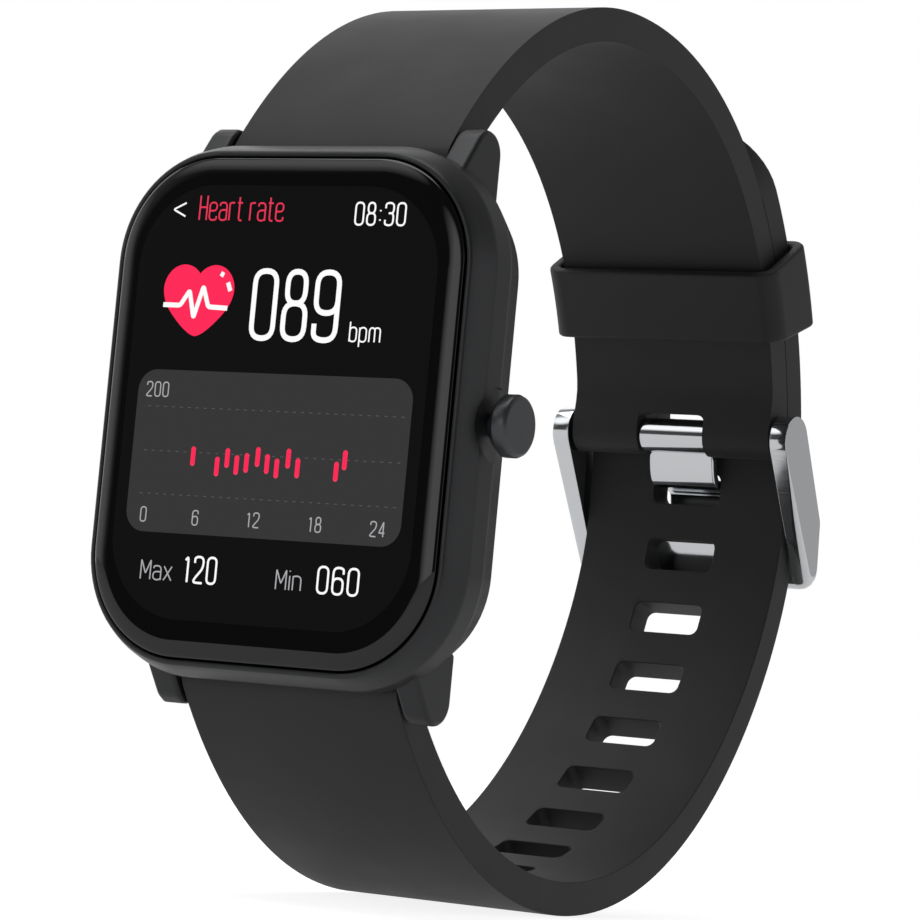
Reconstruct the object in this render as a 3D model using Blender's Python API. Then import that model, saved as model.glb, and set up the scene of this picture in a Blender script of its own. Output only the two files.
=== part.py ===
"""A smartwatch: rounded-rectangular case, one push button, and a pin-buckle silicone band.

Run it with blender --background --python part.py, or from Blender's text editor.
World axes: +X points to the button side, +Y from the display to the wrist, +Z to twelve o'clock.
The origin is the centre of the flat outer face of the sensor window on the back of the case.
Sizes below are in millimetres. A "depth" is measured from the front lip of the case towards the wrist.
"""
import math

import bmesh
import bpy
from mathutils import Matrix, Vector
from mathutils.geometry import interpolate_bezier

MM = 0.001

# ---------------------------------------------------------------- case
CASE_WIDTH = 34.0
CASE_HEIGHT = 41.7
CASE_CORNER = 9.6
SHOULDER_DEPTH = 2.4
SIDE_DEPTH = 4.6
BACK_DEPTH = 9.0
SENSOR_DEPTH = 10.0
BACK_INSET = 1.9
GLASS_SEAT_INSET = 1.28
LIP_WIDTH = 0.4
GLASS_SEAT_DEPTH = 0.9
POCKET_INSET = 2.8
POCKET_DEPTH = 2.4
CAVITY_INSET = 3.2
COVER_SEAT_INSET = 2.6
COVER_SEAT_DEPTH = 7.9
SEAT_GAP = 0.1
PART_GAP = 0.05
CORNER_STEPS = 6
ROUND_STEPS = 24

# ---------------------------------------------------------------- glass and display
GLASS_BEVEL_WIDTH = 0.9
GLASS_BEVEL_HEIGHT = 0.45
GLASS_UNDERSIDE = 0.6
DISPLAY_THICKNESS = 1.2
BACKPLATE_THICKNESS = 0.2
GASKET_LAND = 0.05

# ---------------------------------------------------------------- button
BUTTON_DEPTH = 4.5
BUTTON_RADIUS = 2.4
BUTTON_BEVEL = 0.2
BUTTON_THICKNESS = 1.5
BUTTON_STANDOFF = 0.65
BUTTON_TRAVEL = 0.5
STEM_RADIUS = 0.9
STEM_BORE_RADIUS = 0.97
STEM_REACH = 0.95
SEAL_WIRE = 0.2
SEAL_GROOVE_WIDTH = 0.5
CLIP_RADIUS = 1.45
CLIP_THICKNESS = 0.25
CLIP_OPENING_DEG = 70.0
SCALLOP_RADIUS = 2.8
SCALLOP_DEPTH = 0.3

# ---------------------------------------------------------------- lugs and spring bars
BAND_WIDTH = 20.0
BAND_SIDE_GAP = 0.3
BAR_DEPTH = 6.6
BAR_OVERHANG = 0.25
LUG_THICKNESS = 2.3
LUG_FLARE = 2.6
LUG_TIP_OVER_BAR = 2.3
BAR_TUBE_RADIUS = 0.75
BAR_TUBE_BORE = 0.5
BAR_TUBE_INSET = 0.6
PIN_RADIUS = 0.44
PIN_TIP_RADIUS = 0.4
PIN_HOLE_RADIUS = 0.46
PIN_TIP_REACH = 1.6
PIN_SHANK = 2.7
PIN_HOLE_SPARE = 0.2
BAR_SPRING_RADIUS = 0.3
BAR_SPRING_WIRE = 0.09
BAR_SPRING_TURNS = 8

# ---------------------------------------------------------------- band
BAND_THICKNESS = 2.8
BAND_CHAMFER = 0.35
BAND_GAP = 0.1
BAND_BORE = 0.85
BAND_END_RADIUS = 1.5
LOOP_TOP_Z = 37.4
LOOP_TOP_DEPTH = 33.0
LOOP_BOTTOM_Z = -34.5
LOOP_BOTTOM_DEPTH = 34.4
LOOP_REAR_DEPTH = 67.9
LOOP_REAR_Z = -1.7
LOWER_HEADING_DEG = -55.5
UPPER_HEADING_DEG = -124.0
LOWER_HANDLES = (7.6, 13.5)
LOWER_REAR_HANDLES = (21.2, 12.3)
UPPER_REAR_HANDLES = (19.8, 22.6)
UPPER_HANDLES = (15.4, 5.0)
CURVE_STEPS = 64
STATION_SPACING = 2.0
SLOT_LENGTH = 6.8
SLOT_HEIGHT = 2.9
SLOT_PITCH = 6.1
SLOT_CORNER = 0.7
SLOTS_BELOW_BUCKLE = 9
SLOTS_ABOVE_BUCKLE = 3
FIRST_SLOT_FROM_BAR = 4.9
TIP_FROM_BAR = 28.9
TIP_CORNER = 7.0

# ---------------------------------------------------------------- buckle and keeper
HINGE_TUBE_RADIUS = 1.9
BUCKLE_BAR_Z = 5.7
NOTCH_GAP = 0.35
ARM_THICKNESS = 1.6
ARM_PIN_REACH = 0.84
ARM_HOLE_DEPTH = 0.96
ARM_HINGE_RADIUS = 2.2
ARM_ELBOW_RADIUS = 1.4
ARM_END_RADIUS = 0.8
FRAME_REACH = 11.7
FAR_BAR_GAP = 0.22
ELBOW_SHARE = 0.63
ELBOW_OFFSET = 1.25
TONGUE_ROLL_RADIUS = 1.45
TONGUE_ROLL_WIDTH = 5.4
TONGUE_WIDTH = 6.3
TONGUE_THICKNESS = 0.9
KEEPER_FROM_BAR = 13.2
KEEPER_LENGTH = 7.1
KEEPER_WALL = 0.9
KEEPER_SIDE_WALL = 1.2
KEEPER_CLEARANCE = 0.35
KEEPER_CORNER = 1.6

# ---------------------------------------------------------------- inner pieces
BOSS_RADIUS = 1.5
BOSS_BITE = 0.35
BOSS_DEPTH = 3.5
SCREW_RADIUS = 0.5
SCREW_HOLE_RADIUS = 0.56
SCREW_HEAD_RADIUS = 1.0
SCREW_HEAD_HEIGHT = 0.5
SCREW_LENGTH = 3.3
SOCKET_RADIUS = 0.45
COVER_THICKNESS = 0.85
BUMP_RADIUS = 10.8
BUMP_CHAMFER = 0.7
BUMP_HEIGHT = 0.7
WINDOW_RADIUS = 7.0
WINDOW_BOSS_RADIUS = 5.8
WINDOW_BOSS = 0.5
WINDOW_THICKNESS = 1.0
CONTACT_SPACING = 7.0
CONTACT_Z = -13.6
CONTACT_RADIUS = 1.2
CONTACT_SHANK_RADIUS = 0.8
FRAME_PLATE_DEPTH = 2.5
FRAME_PLATE_THICKNESS = 0.6
FRAME_PLATE_INSET = 3.5
BOARD_DEPTH = 3.5
BOARD_THICKNESS = 0.7
BOARD_WIDTH = 18.4
BOARD_HEIGHT = 11.4
BOARD_TOP_GAP = 1.05
BATTERY_WIDTH = 18.4
BATTERY_HEIGHT = 16.2
BATTERY_THICKNESS = 3.8
BATTERY_CENTRE = (-3.0, -4.5)
TRAY_WALL = 0.5
TRAY_HEIGHT = 1.5
TRAY_GAP = 0.25
MOTOR_FROM_WALL = 3.5
MOTOR_DEPTH = 5.2
MOTOR_RADIUS = 1.9
MOTOR_LENGTH = 7.0
MOTOR_TOP_Z = -4.8
WEIGHT_RADIUS = 1.7
WEIGHT_LENGTH = 1.9
SHAFT_RADIUS = 0.35
SHAFT_BORE_RADIUS = 0.42
SHAFT_ENTRY = 2.0
SENSOR_BOARD_RADIUS = 6.3
SENSOR_BOARD_THICKNESS = 0.6
FLEX_THICKNESS = 0.15
FLEX_WIDTH = 8.0

PALETTE = {
    "case_black": ("#2A2B2D", 0.38, 0.7),
    "glass_black": ("#060607", 0.06, 0.0),
    "rubber_seal": ("#1A1A1A", 0.8, 0.0),
    "display_dark": ("#101114", 0.25, 0.0),
    "sheet_steel": ("#9A9DA1", 0.35, 1.0),
    "polyimide": ("#7A3D12", 0.5, 0.0),
    "inner_plastic": ("#1E2022", 0.6, 0.0),
    "circuit_board": ("#0E3B22", 0.5, 0.0),
    "chip_black": ("#141416", 0.5, 0.0),
    "battery_foil": ("#B8BABD", 0.3, 0.8),
    "motor_steel": ("#B0B2B5", 0.3, 1.0),
    "button_grey": ("#55585C", 0.4, 0.7),
    "cover_black": ("#18191A", 0.5, 0.0),
    "sensor_glass": ("#0A0C10", 0.08, 0.0),
    "led_green": ("#3FBF6A", 0.3, 0.0),
    "gold_contact": ("#C9A24B", 0.3, 1.0),
    "screw_black": ("#303235", 0.4, 0.9),
    "band_silicone": ("#2B2C2E", 0.62, 0.0),
    "bar_steel": ("#A8ABAF", 0.25, 1.0),
    "buckle_chrome": ("#D8DADD", 0.12, 1.0),
}


# ---------------------------------------------------------------- scene and mesh helpers
def clear_scene():
    for old in list(bpy.data.objects):
        bpy.data.objects.remove(old, do_unlink=True)


def linear_channel(value):
    return value / 12.92 if value <= 0.04045 else ((value + 0.055) / 1.055) ** 2.4


def part_material(key):
    """The named Principled material, made on first use."""
    if key in bpy.data.materials:
        return bpy.data.materials[key]
    colour, roughness, metallic = PALETTE[key]
    material = bpy.data.materials.new(key)
    material.use_nodes = True
    shader = material.node_tree.nodes["Principled BSDF"]
    channels = [linear_channel(int(colour[i:i + 2], 16) / 255.0) for i in (1, 3, 5)]
    shader.inputs["Base Color"].default_value = (*channels, 1.0)
    shader.inputs["Roughness"].default_value = roughness
    shader.inputs["Metallic"].default_value = metallic
    return material


def finish_mesh(name, mesh_data, material_key, origin=(0.0, 0.0, 0.0)):
    """Turn a bmesh into an object whose origin is the given point, in millimetres."""
    bmesh.ops.recalc_face_normals(mesh_data, faces=mesh_data.faces[:])
    mesh = bpy.data.meshes.new(name)
    mesh_data.to_mesh(mesh)
    mesh_data.free()
    centre = Vector(origin) * MM
    mesh.transform(Matrix.Translation(-centre))
    piece = bpy.data.objects.new(name, mesh)
    piece.location = centre
    mesh.materials.append(part_material(material_key))
    bpy.context.scene.collection.objects.link(piece)
    return piece


def loft(rings, closed=False):
    """A bmesh skinned over rings of equally many points, capped at both ends unless closed."""
    mesh_data = bmesh.new()
    loops = [[mesh_data.verts.new(Vector(point) * MM) for point in ring] for ring in rings]
    count = len(loops[0])
    last = len(loops) if closed else len(loops) - 1
    for index in range(last):
        near, far = loops[index], loops[(index + 1) % len(loops)]
        for k in range(count):
            following = (k + 1) % count
            mesh_data.faces.new((near[k], near[following], far[following], far[k]))
    if not closed:
        mesh_data.faces.new(list(reversed(loops[0])))
        mesh_data.faces.new(loops[-1])
    return mesh_data


def combine(target, tools, operation):
    """Apply an exact boolean with each tool in turn and remove the tool."""
    for tool in tools:
        modifier = target.modifiers.new(operation.lower(), "BOOLEAN")
        modifier.operation = operation
        modifier.solver = "EXACT"
        modifier.object = tool
        bpy.context.view_layer.update()
        evaluated = target.evaluated_get(bpy.context.evaluated_depsgraph_get())
        result = bpy.data.meshes.new_from_object(evaluated)
        target.modifiers.remove(modifier)
        target.data = result
        bpy.data.objects.remove(tool, do_unlink=True)
    return target


def cut(target, *tools):
    return combine(target, tools, "DIFFERENCE")


def join(target, *tools):
    return combine(target, tools, "UNION")


# ---------------------------------------------------------------- outlines
def world_y(depth):
    return depth - SENSOR_DEPTH


def case_outline(inset):
    """The case's rounded rectangle in X and Z, moved inwards by the inset."""
    return rounded_outline(CASE_WIDTH / 2 - inset, CASE_HEIGHT / 2 - inset, CASE_CORNER - inset)


def rounded_outline(half_x, half_z, radius, centre=(0.0, 0.0), steps=CORNER_STEPS):
    points = []
    corners = ((1, 1, 0), (-1, 1, 90), (-1, -1, 180), (1, -1, 270))
    for sign_x, sign_z, start in corners:
        for step in range(steps + 1):
            angle = math.radians(start + 90.0 * step / steps)
            x = sign_x * (half_x - radius) + radius * math.cos(angle)
            z = sign_z * (half_z - radius) + radius * math.sin(angle)
            points.append((centre[0] + x, centre[1] + z))
    return points


def circle_outline(radius, centre=(0.0, 0.0), steps=ROUND_STEPS):
    turn = 2.0 * math.pi / steps
    return [(centre[0] + radius * math.cos(turn * k), centre[1] + radius * math.sin(turn * k))
            for k in range(steps)]


def at_depth(outline, depth):
    return [(x, world_y(depth), z) for x, z in outline]


def at_side(outline, x):
    """Place an outline of (depth, z) points in the plane of the given X."""
    return [(x, world_y(depth), z) for depth, z in outline]


def plate(name, outline, near_depth, far_depth, material_key, origin=(0.0, 0.0, 0.0)):
    rings = [at_depth(outline, near_depth), at_depth(outline, far_depth)]
    return finish_mesh(name, loft(rings), material_key, origin)


def turned_y(name, profile, centre, material_key, steps=ROUND_STEPS):
    """A solid turned about an axis along Y from (radius, depth) pairs."""
    rings = [at_depth(circle_outline(radius, centre, steps), depth) for radius, depth in profile]
    return finish_mesh(name, loft(rings), material_key)


def turned_x(name, profile, centre, material_key, steps=ROUND_STEPS, origin=(0.0, 0.0, 0.0)):
    """A solid turned about an axis along X from (radius, x) pairs; centre is (depth, z)."""
    rings = [at_side(circle_outline(radius, centre, steps), x) for radius, x in profile]
    return finish_mesh(name, loft(rings), material_key, origin)


def tube_x(name, outer, inner, half_length, centre, material_key):
    ends = (-half_length, half_length)
    rings = [at_side(circle_outline(outer, centre), x) for x in ends]
    rings += [at_side(circle_outline(inner, centre), x) for x in reversed(ends)]
    return finish_mesh(name, loft(rings, closed=True), material_key)


def hull_outline(circles, steps=ROUND_STEPS):
    """The convex outline around circles given as (a, b, radius)."""
    points = []
    for a, b, radius in circles:
        points += circle_outline(radius, (a, b), steps)
    points.sort()
    return half_hull(points)[:-1] + half_hull(reversed(points))[:-1]


def half_hull(points):
    chain = []
    for point in points:
        while len(chain) > 1 and turn_area(chain[-2], chain[-1], point) <= 0.0:
            chain.pop()
        chain.append(point)
    return chain


def turn_area(a, b, c):
    return (b[0] - a[0]) * (c[1] - a[1]) - (b[1] - a[1]) * (c[0] - a[0])


# ---------------------------------------------------------------- the line of the band
class BandLine:
    """The face where the two straps meet, as a smooth line in depth and Z.

    It starts inside the long strap at the lower spring bar, runs round the back of the wrist,
    and ends outside the short strap at the upper spring bar.
    """

    def __init__(self):
        lower = heading_vector(LOWER_HEADING_DEG)
        upper = heading_vector(UPPER_HEADING_DEG)
        half = BAND_THICKNESS / 2
        start = bar_centre(-1) + left_of(lower) * half
        end = bar_centre(1) - left_of(upper) * (half + BAND_GAP)
        bottom = Vector((LOOP_BOTTOM_DEPTH, LOOP_BOTTOM_Z))
        rear = Vector((LOOP_REAR_DEPTH, LOOP_REAR_Z))
        top = Vector((LOOP_TOP_DEPTH, LOOP_TOP_Z))
        back, up = Vector((1.0, 0.0)), Vector((0.0, 1.0))
        legs = (
            (start, lower, LOWER_HANDLES, bottom, back),
            (bottom, back, LOWER_REAR_HANDLES, rear, up),
            (rear, up, UPPER_REAR_HANDLES, top, -back),
            (top, -back, UPPER_HANDLES, end, upper),
        )
        self.points = []
        for first, leaving, handles, last, arriving in legs:
            controls = (first, first + leaving * handles[0], last - arriving * handles[1], last)
            leg = interpolate_bezier(*[p.to_3d() for p in controls], CURVE_STEPS)
            self.points += [p.to_2d() for p in leg[:-1]]
        self.points.append(end)
        self.distances = [0.0]
        for near, far in zip(self.points, self.points[1:]):
            self.distances.append(self.distances[-1] + (far - near).length)
        self.length = self.distances[-1]

    def point(self, distance):
        index = 1
        while index < len(self.points) - 1 and self.distances[index] < distance:
            index += 1
        near, far = self.points[index - 1], self.points[index]
        span = self.distances[index] - self.distances[index - 1]
        return near.lerp(far, (distance - self.distances[index - 1]) / span)

    def heading(self, distance):
        reach = STATION_SPACING / 4
        low = max(distance - reach, 0.0)
        high = min(distance + reach, self.length)
        return (self.point(high) - self.point(low)).normalized()

    def outward(self, distance):
        """The unit normal that points away from the wrist."""
        return -left_of(self.heading(distance))

    def offset(self, distance, amount):
        return self.point(distance) + self.outward(distance) * amount

    def distance_of_z(self, z):
        """Where the rear stretch of the line passes the height z."""
        for near, far, start in zip(self.points, self.points[1:], self.distances):
            if near.x > LOOP_TOP_DEPTH and near.y <= z < far.y:
                return start + (far - near).length * (z - near.y) / (far.y - near.y)
        raise ValueError("the band line doesn't pass that height")


def heading_vector(degrees):
    angle = math.radians(degrees)
    return Vector((math.cos(angle), math.sin(angle)))


def left_of(direction):
    return Vector((-direction.y, direction.x))


def bar_centre(side):
    """The upper (1) or lower (-1) spring bar as (depth, z)."""
    return Vector((BAR_DEPTH, side * (CASE_HEIGHT / 2 - BAR_OVERHANG)))


def buckle_centre(line):
    distance = line.distance_of_z(BUCKLE_BAR_Z)
    return line.offset(distance, -(HINGE_TUBE_RADIUS + BAND_GAP))


def strap_sweep(name, line, offset, start, end, half_width_at):
    """A bent plate along the band line, with chamfered edges."""
    count = max(2, math.ceil((end - start) / STATION_SPACING))
    distances = [start + (end - start) * k / count for k in range(count + 1)]
    if end > start + TIP_CORNER and half_width_at(end) < half_width_at(start):
        distances += [end - TIP_CORNER * (1 - math.cos(math.radians(a))) for a in (15, 30, 45, 60, 75)]
        distances = sorted(set(distances))
    half, bevel = BAND_THICKNESS / 2, BAND_CHAMFER
    rings = []
    for distance in distances:
        centre, out, wide = line.offset(distance, offset), line.outward(distance), half_width_at(distance)
        section = [(wide - bevel, half), (wide, half - bevel), (wide, bevel - half), (wide - bevel, -half)]
        section += [(-x, n) for x, n in reversed(section)]
        rings.append([(x, world_y(centre.x + out.x * n), centre.y + out.y * n) for x, n in section])
    return finish_mesh(name, loft(rings), "band_silicone")


def end_cylinder(centre, radius):
    half = BAND_WIDTH / 2
    profile = [(radius - BAND_CHAMFER, -half), (radius, BAND_CHAMFER - half),
               (radius, half - BAND_CHAMFER), (radius - BAND_CHAMFER, half)]
    return turned_x("end_cylinder", profile, centre, "band_silicone")


def bore_cutter(centre, radius):
    reach = BAND_WIDTH
    return turned_x("bore_cutter", [(radius, -reach), (radius, reach)], centre, "band_silicone")


def slot_distances(line):
    """Distances of the adjustment slots along the band line, nearest the case first."""
    first = line.distance_of_z(BUCKLE_BAR_Z) - FIRST_SLOT_FROM_BAR
    return [first + SLOT_PITCH * k for k in range(1 - SLOTS_BELOW_BUCKLE, SLOTS_ABOVE_BUCKLE + 1)]


def slot_cutter(line, distance):
    centre = line.offset(distance, BAND_THICKNESS / 2)
    out, along = line.outward(distance), line.heading(distance)
    outline = rounded_outline(SLOT_LENGTH / 2, SLOT_HEIGHT / 2, SLOT_CORNER, steps=3)
    rings = []
    for reach in (-BAND_THICKNESS, BAND_THICKNESS):
        base = centre + out * reach
        rings.append([(x, world_y(base.x + along.x * s), base.y + along.y * s) for x, s in outline])
    return finish_mesh("slot_cutter", loft(rings), "band_silicone")


# ---------------------------------------------------------------- case shell
def build_case_shell():
    rings = [
        (GLASS_SEAT_INSET - LIP_WIDTH, 0.0),
        (0.0, SHOULDER_DEPTH),
        (0.0, SIDE_DEPTH),
        (BACK_INSET, BACK_DEPTH),
        (COVER_SEAT_INSET, BACK_DEPTH),
        (COVER_SEAT_INSET, COVER_SEAT_DEPTH),
        (CAVITY_INSET, COVER_SEAT_DEPTH),
        (CAVITY_INSET, POCKET_DEPTH),
        (POCKET_INSET, POCKET_DEPTH),
        (POCKET_INSET, GLASS_SEAT_DEPTH),
        (GLASS_SEAT_INSET, GLASS_SEAT_DEPTH),
        (GLASS_SEAT_INSET, 0.0),
    ]
    walls = [at_depth(case_outline(inset), depth) for inset, depth in rings]
    shell = finish_mesh("case_shell", loft(walls, closed=True), "case_black")
    join(shell, *[screw_boss(x, z) for x, z in boss_centres()])
    join(shell, *[lug(side, end) for side in (-1, 1) for end in (-1, 1)])
    cut(shell, *[band_notch(end) for end in (-1, 1)])
    cut(shell, *[pin_hole(side, end) for side in (-1, 1) for end in (-1, 1)])
    cut(shell, *[screw_hole(x, z) for x, z in boss_centres()])
    wall = [(STEM_BORE_RADIUS, cavity_side() - 1.0), (STEM_BORE_RADIUS, CASE_WIDTH)]
    cut(shell, turned_x("stem_bore", wall, button_centre(), "case_black"))
    scallop = [(SCALLOP_RADIUS, CASE_WIDTH / 2 - SCALLOP_DEPTH), (SCALLOP_RADIUS, CASE_WIDTH)]
    cut(shell, turned_x("scallop", scallop, button_centre(), "case_black"))
    return shell


def cavity_side():
    return CASE_WIDTH / 2 - CAVITY_INSET


def button_centre():
    return (BUTTON_DEPTH, 0.0)


def boss_centres():
    """The four screw bosses bite into the rounded corners of the cavity."""
    corner_x = CASE_WIDTH / 2 - CASE_CORNER
    corner_z = CASE_HEIGHT / 2 - CASE_CORNER
    reach = (CASE_CORNER - CAVITY_INSET + BOSS_BITE - BOSS_RADIUS) / math.sqrt(2.0)
    return [(side * (corner_x + reach), end * (corner_z + reach)) for side in (-1, 1) for end in (-1, 1)]


def screw_boss(x, z):
    return turned_y("screw_boss", [(BOSS_RADIUS, BOSS_DEPTH), (BOSS_RADIUS, COVER_SEAT_DEPTH)], (x, z),
                    "case_black")


def screw_hole(x, z):
    bottom = COVER_SEAT_DEPTH - SCREW_LENGTH
    return turned_y("screw_hole", [(SCREW_HOLE_RADIUS, bottom), (SCREW_HOLE_RADIUS, BACK_DEPTH)], (x, z),
                    "case_black")


def lug(side, end):
    """One faceted lug: a rounded tip by the band and a flare that fades into the case corner."""
    bar = bar_centre(1)
    inner_x = BAND_WIDTH / 2 + BAND_SIDE_GAP
    crease_x = inner_x + LUG_THICKNESS
    root_z = CASE_HEIGHT / 2 - CAVITY_INSET - 0.5
    tip = [(bar.x - 0.3, bar.y + LUG_TIP_OVER_BAR, 0.0), (bar.x + 0.5, bar.y + LUG_TIP_OVER_BAR, 0.0)]
    nose = [(bar.x - 0.3 + 1.5, bar.y + 0.8, 1.1)]
    outline = hull_outline([(a, b, max(r, 0.05)) for a, b, r in tip + nose], 16)
    front_root = (SHOULDER_DEPTH + 0.9, CASE_HEIGHT / 2 - 0.25)
    low_root = (SHOULDER_DEPTH + 0.9, root_z)
    back_root = (BACK_DEPTH, root_z)
    points = []
    for x in (inner_x, crease_x):
        points += [(x, a, b) for a, b in outline + [front_root, low_root, back_root]]
        points += [(x, BACK_DEPTH, bar.y - 1.2)]
    flare_x = crease_x + LUG_FLARE
    points += [(flare_x, SIDE_DEPTH - 0.6, root_z - 2.6), (flare_x, SIDE_DEPTH - 0.6, root_z - 0.9)]
    points += [(flare_x, BACK_DEPTH - 2.0, root_z - 2.6), (flare_x, BACK_DEPTH - 2.0, root_z - 1.3)]
    mesh_data = bmesh.new()
    for x, depth, z in points:
        mesh_data.verts.new(Vector((side * x, world_y(depth), end * z)) * MM)
    hull = bmesh.ops.convex_hull(mesh_data, input=mesh_data.verts[:])
    spare = {v for v in hull["geom_interior"] + hull["geom_unused"] if isinstance(v, bmesh.types.BMVert)}
    bmesh.ops.delete(mesh_data, geom=list(spare), context="VERTS")
    solid = finish_mesh("lug", mesh_data, "case_black")
    inside = case_outline(COVER_SEAT_INSET - 0.2)
    return cut(solid, plate("inside", inside, -1.0, SENSOR_DEPTH + 1.0, "case_black"))


def band_notch(end):
    radius = BAND_END_RADIUS + BAR_OVERHANG + 0.2
    half = BAND_WIDTH / 2 + BAND_SIDE_GAP
    return turned_x("band_notch", [(radius, -half), (radius, half)], bar_centre(end), "case_black")


def pin_hole(side, end):
    inner = BAND_WIDTH / 2
    outer = inner + PIN_TIP_REACH + PIN_HOLE_SPARE
    return turned_x("pin_hole", [(PIN_HOLE_RADIUS, side * inner), (PIN_HOLE_RADIUS, side * outer)],
                    bar_centre(end), "case_black")


# ---------------------------------------------------------------- glass, display and inner pieces
def build_glass():
    edge = GLASS_SEAT_INSET + SEAT_GAP
    rings = [(edge, GLASS_UNDERSIDE), (edge, 0.0), (edge + GLASS_BEVEL_WIDTH / 3, -GLASS_BEVEL_HEIGHT * 0.6),
             (edge + GLASS_BEVEL_WIDTH, -GLASS_BEVEL_HEIGHT)]
    finish_mesh("front_glass", loft([at_depth(case_outline(i), d) for i, d in rings]), "glass_black")


def ring_plate(name, outer_inset, inner_inset, near_depth, far_depth, material_key):
    sections = ((outer_inset, near_depth), (outer_inset, far_depth), (inner_inset, far_depth),
                (inner_inset, near_depth))
    rings = [at_depth(case_outline(inset), depth) for inset, depth in sections]
    return finish_mesh(name, loft(rings, closed=True), material_key)


def build_display():
    near = GLASS_UNDERSIDE + PART_GAP
    panel_inset = POCKET_INSET + SEAT_GAP + PART_GAP
    ring_plate("glass_gasket", GLASS_SEAT_INSET + SEAT_GAP, POCKET_INSET - GASKET_LAND,
               GLASS_UNDERSIDE + PART_GAP, GLASS_SEAT_DEPTH - PART_GAP, "rubber_seal")
    plate("display_panel", case_outline(panel_inset), near, near + DISPLAY_THICKNESS, "display_dark")
    back = near + DISPLAY_THICKNESS + PART_GAP
    plate("display_backplate", case_outline(panel_inset), back, back + BACKPLATE_THICKNESS, "sheet_steel")


def board_top():
    return CASE_HEIGHT / 2 - CAVITY_INSET - BOARD_TOP_GAP


def board_bottom():
    return board_top() - BOARD_HEIGHT


def build_display_flex():
    """A ribbon that leaves the display, wraps over the board's top edge and lands on its connector."""
    near = (GLASS_UNDERSIDE + DISPLAY_THICKNESS + BACKPLATE_THICKNESS + 3 * PART_GAP + FLEX_THICKNESS / 2)
    radius = (BOARD_DEPTH + BOARD_THICKNESS + 0.4 - near) / 2
    centre = (near + radius, board_top() - 0.4)
    line = [(near, centre[1] - 4.0), (near, centre[1])]
    for step in range(1, 9):
        angle = math.radians(180.0 - 22.5 * step)
        line.append((centre[0] + radius * math.cos(angle), centre[1] + radius * math.sin(angle)))
    line.append((centre[0] + radius, centre[1] - 1.4))
    rings = []
    for index, (depth, z) in enumerate(line):
        before, after = line[max(index - 1, 0)], line[min(index + 1, len(line) - 1)]
        along = Vector((after[0] - before[0], after[1] - before[1])).normalized()
        side = left_of(along) * (FLEX_THICKNESS / 2)
        half = FLEX_WIDTH / 2
        rings.append([(x, world_y(depth + s * side.x), z + s * side.y)
                      for x, s in ((-half, -1), (half, -1), (half, 1), (-half, 1))])
    finish_mesh("display_flex", loft(rings), "polyimide")


def block(name, x_range, z_range, depth_range, material_key):
    (x0, x1), (z0, z1) = x_range, z_range
    outline = [(x0, z0), (x1, z0), (x1, z1), (x0, z1)]
    return plate(name, outline, *depth_range, material_key)


def build_mid_frame():
    far = FRAME_PLATE_DEPTH + FRAME_PLATE_THICKNESS
    frame = plate("mid_frame", case_outline(FRAME_PLATE_INSET), FRAME_PLATE_DEPTH, far, "inner_plastic")
    inner = (BATTERY_WIDTH / 2 + TRAY_GAP, BATTERY_HEIGHT / 2 + TRAY_GAP)
    sections = ((TRAY_WALL, far - 0.2), (TRAY_WALL, far + TRAY_HEIGHT), (0.0, far + TRAY_HEIGHT),
                (0.0, far - 0.2))
    rings = [at_depth(rounded_outline(inner[0] + grow, inner[1] + grow, 1.0 + grow, BATTERY_CENTRE, 3), depth)
             for grow, depth in sections]
    join(frame, finish_mesh("tray", loft(rings, closed=True), "inner_plastic"))
    half = FLEX_WIDTH / 2 + 0.8
    notch = block("notch", (-half, half), (board_top() - 0.7, CASE_HEIGHT), (0.0, BACK_DEPTH), "inner_plastic")
    cut(frame, notch)


def build_board():
    centre = (0.0, board_bottom() + BOARD_HEIGHT / 2)
    outline = rounded_outline(BOARD_WIDTH / 2, BOARD_HEIGHT / 2, 1.0, centre, 3)
    near = BOARD_DEPTH + BOARD_THICKNESS
    plate("main_board", outline, BOARD_DEPTH, near, "circuit_board")
    low = near + PART_GAP
    can_centre = (-3.6, board_bottom() + 4.4)
    sections = ((0.15, low + 0.85), (0.15, low), (0.0, low), (0.0, low + 1.0))
    rings = [at_depth(rounded_outline(4.6 - wall, 3.6 - wall, 0.5, can_centre, 3), depth)
             for wall, depth in sections]
    finish_mesh("shield_can", loft(rings), "sheet_steel")
    block("processor", (can_centre[0] - 2.2, can_centre[0] + 2.2), (can_centre[1] - 2.2, can_centre[1] + 2.2),
          (low, low + 0.6), "chip_black")
    block("memory_chip", (3.0, 7.6), (board_bottom() + 1.6, board_bottom() + 6.2), (low, low + 0.8),
          "chip_black")
    block("display_connector", (-3.2, 3.2), (board_top() - 2.4, board_top() - 1.2), (low, low + 0.2),
          "chip_black")


def build_battery():
    outline = rounded_outline(BATTERY_WIDTH / 2, BATTERY_HEIGHT / 2, 1.0, BATTERY_CENTRE, 3)
    near = FRAME_PLATE_DEPTH + FRAME_PLATE_THICKNESS + PART_GAP
    plate("battery", outline, near, near + BATTERY_THICKNESS, "battery_foil")


def motor_x():
    return cavity_side() - MOTOR_FROM_WALL


def turned_z(name, profile, material_key, outline, origin=(0.0, 0.0, 0.0)):
    """A solid along Z through the motor's axis from (scale, z) pairs and an outline of (x, depth)."""
    rings = []
    for scale, z in profile:
        rings.append([(motor_x() + scale * x, world_y(MOTOR_DEPTH + scale * d), z) for x, d in outline])
    return finish_mesh(name, loft(rings), material_key, origin)


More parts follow.
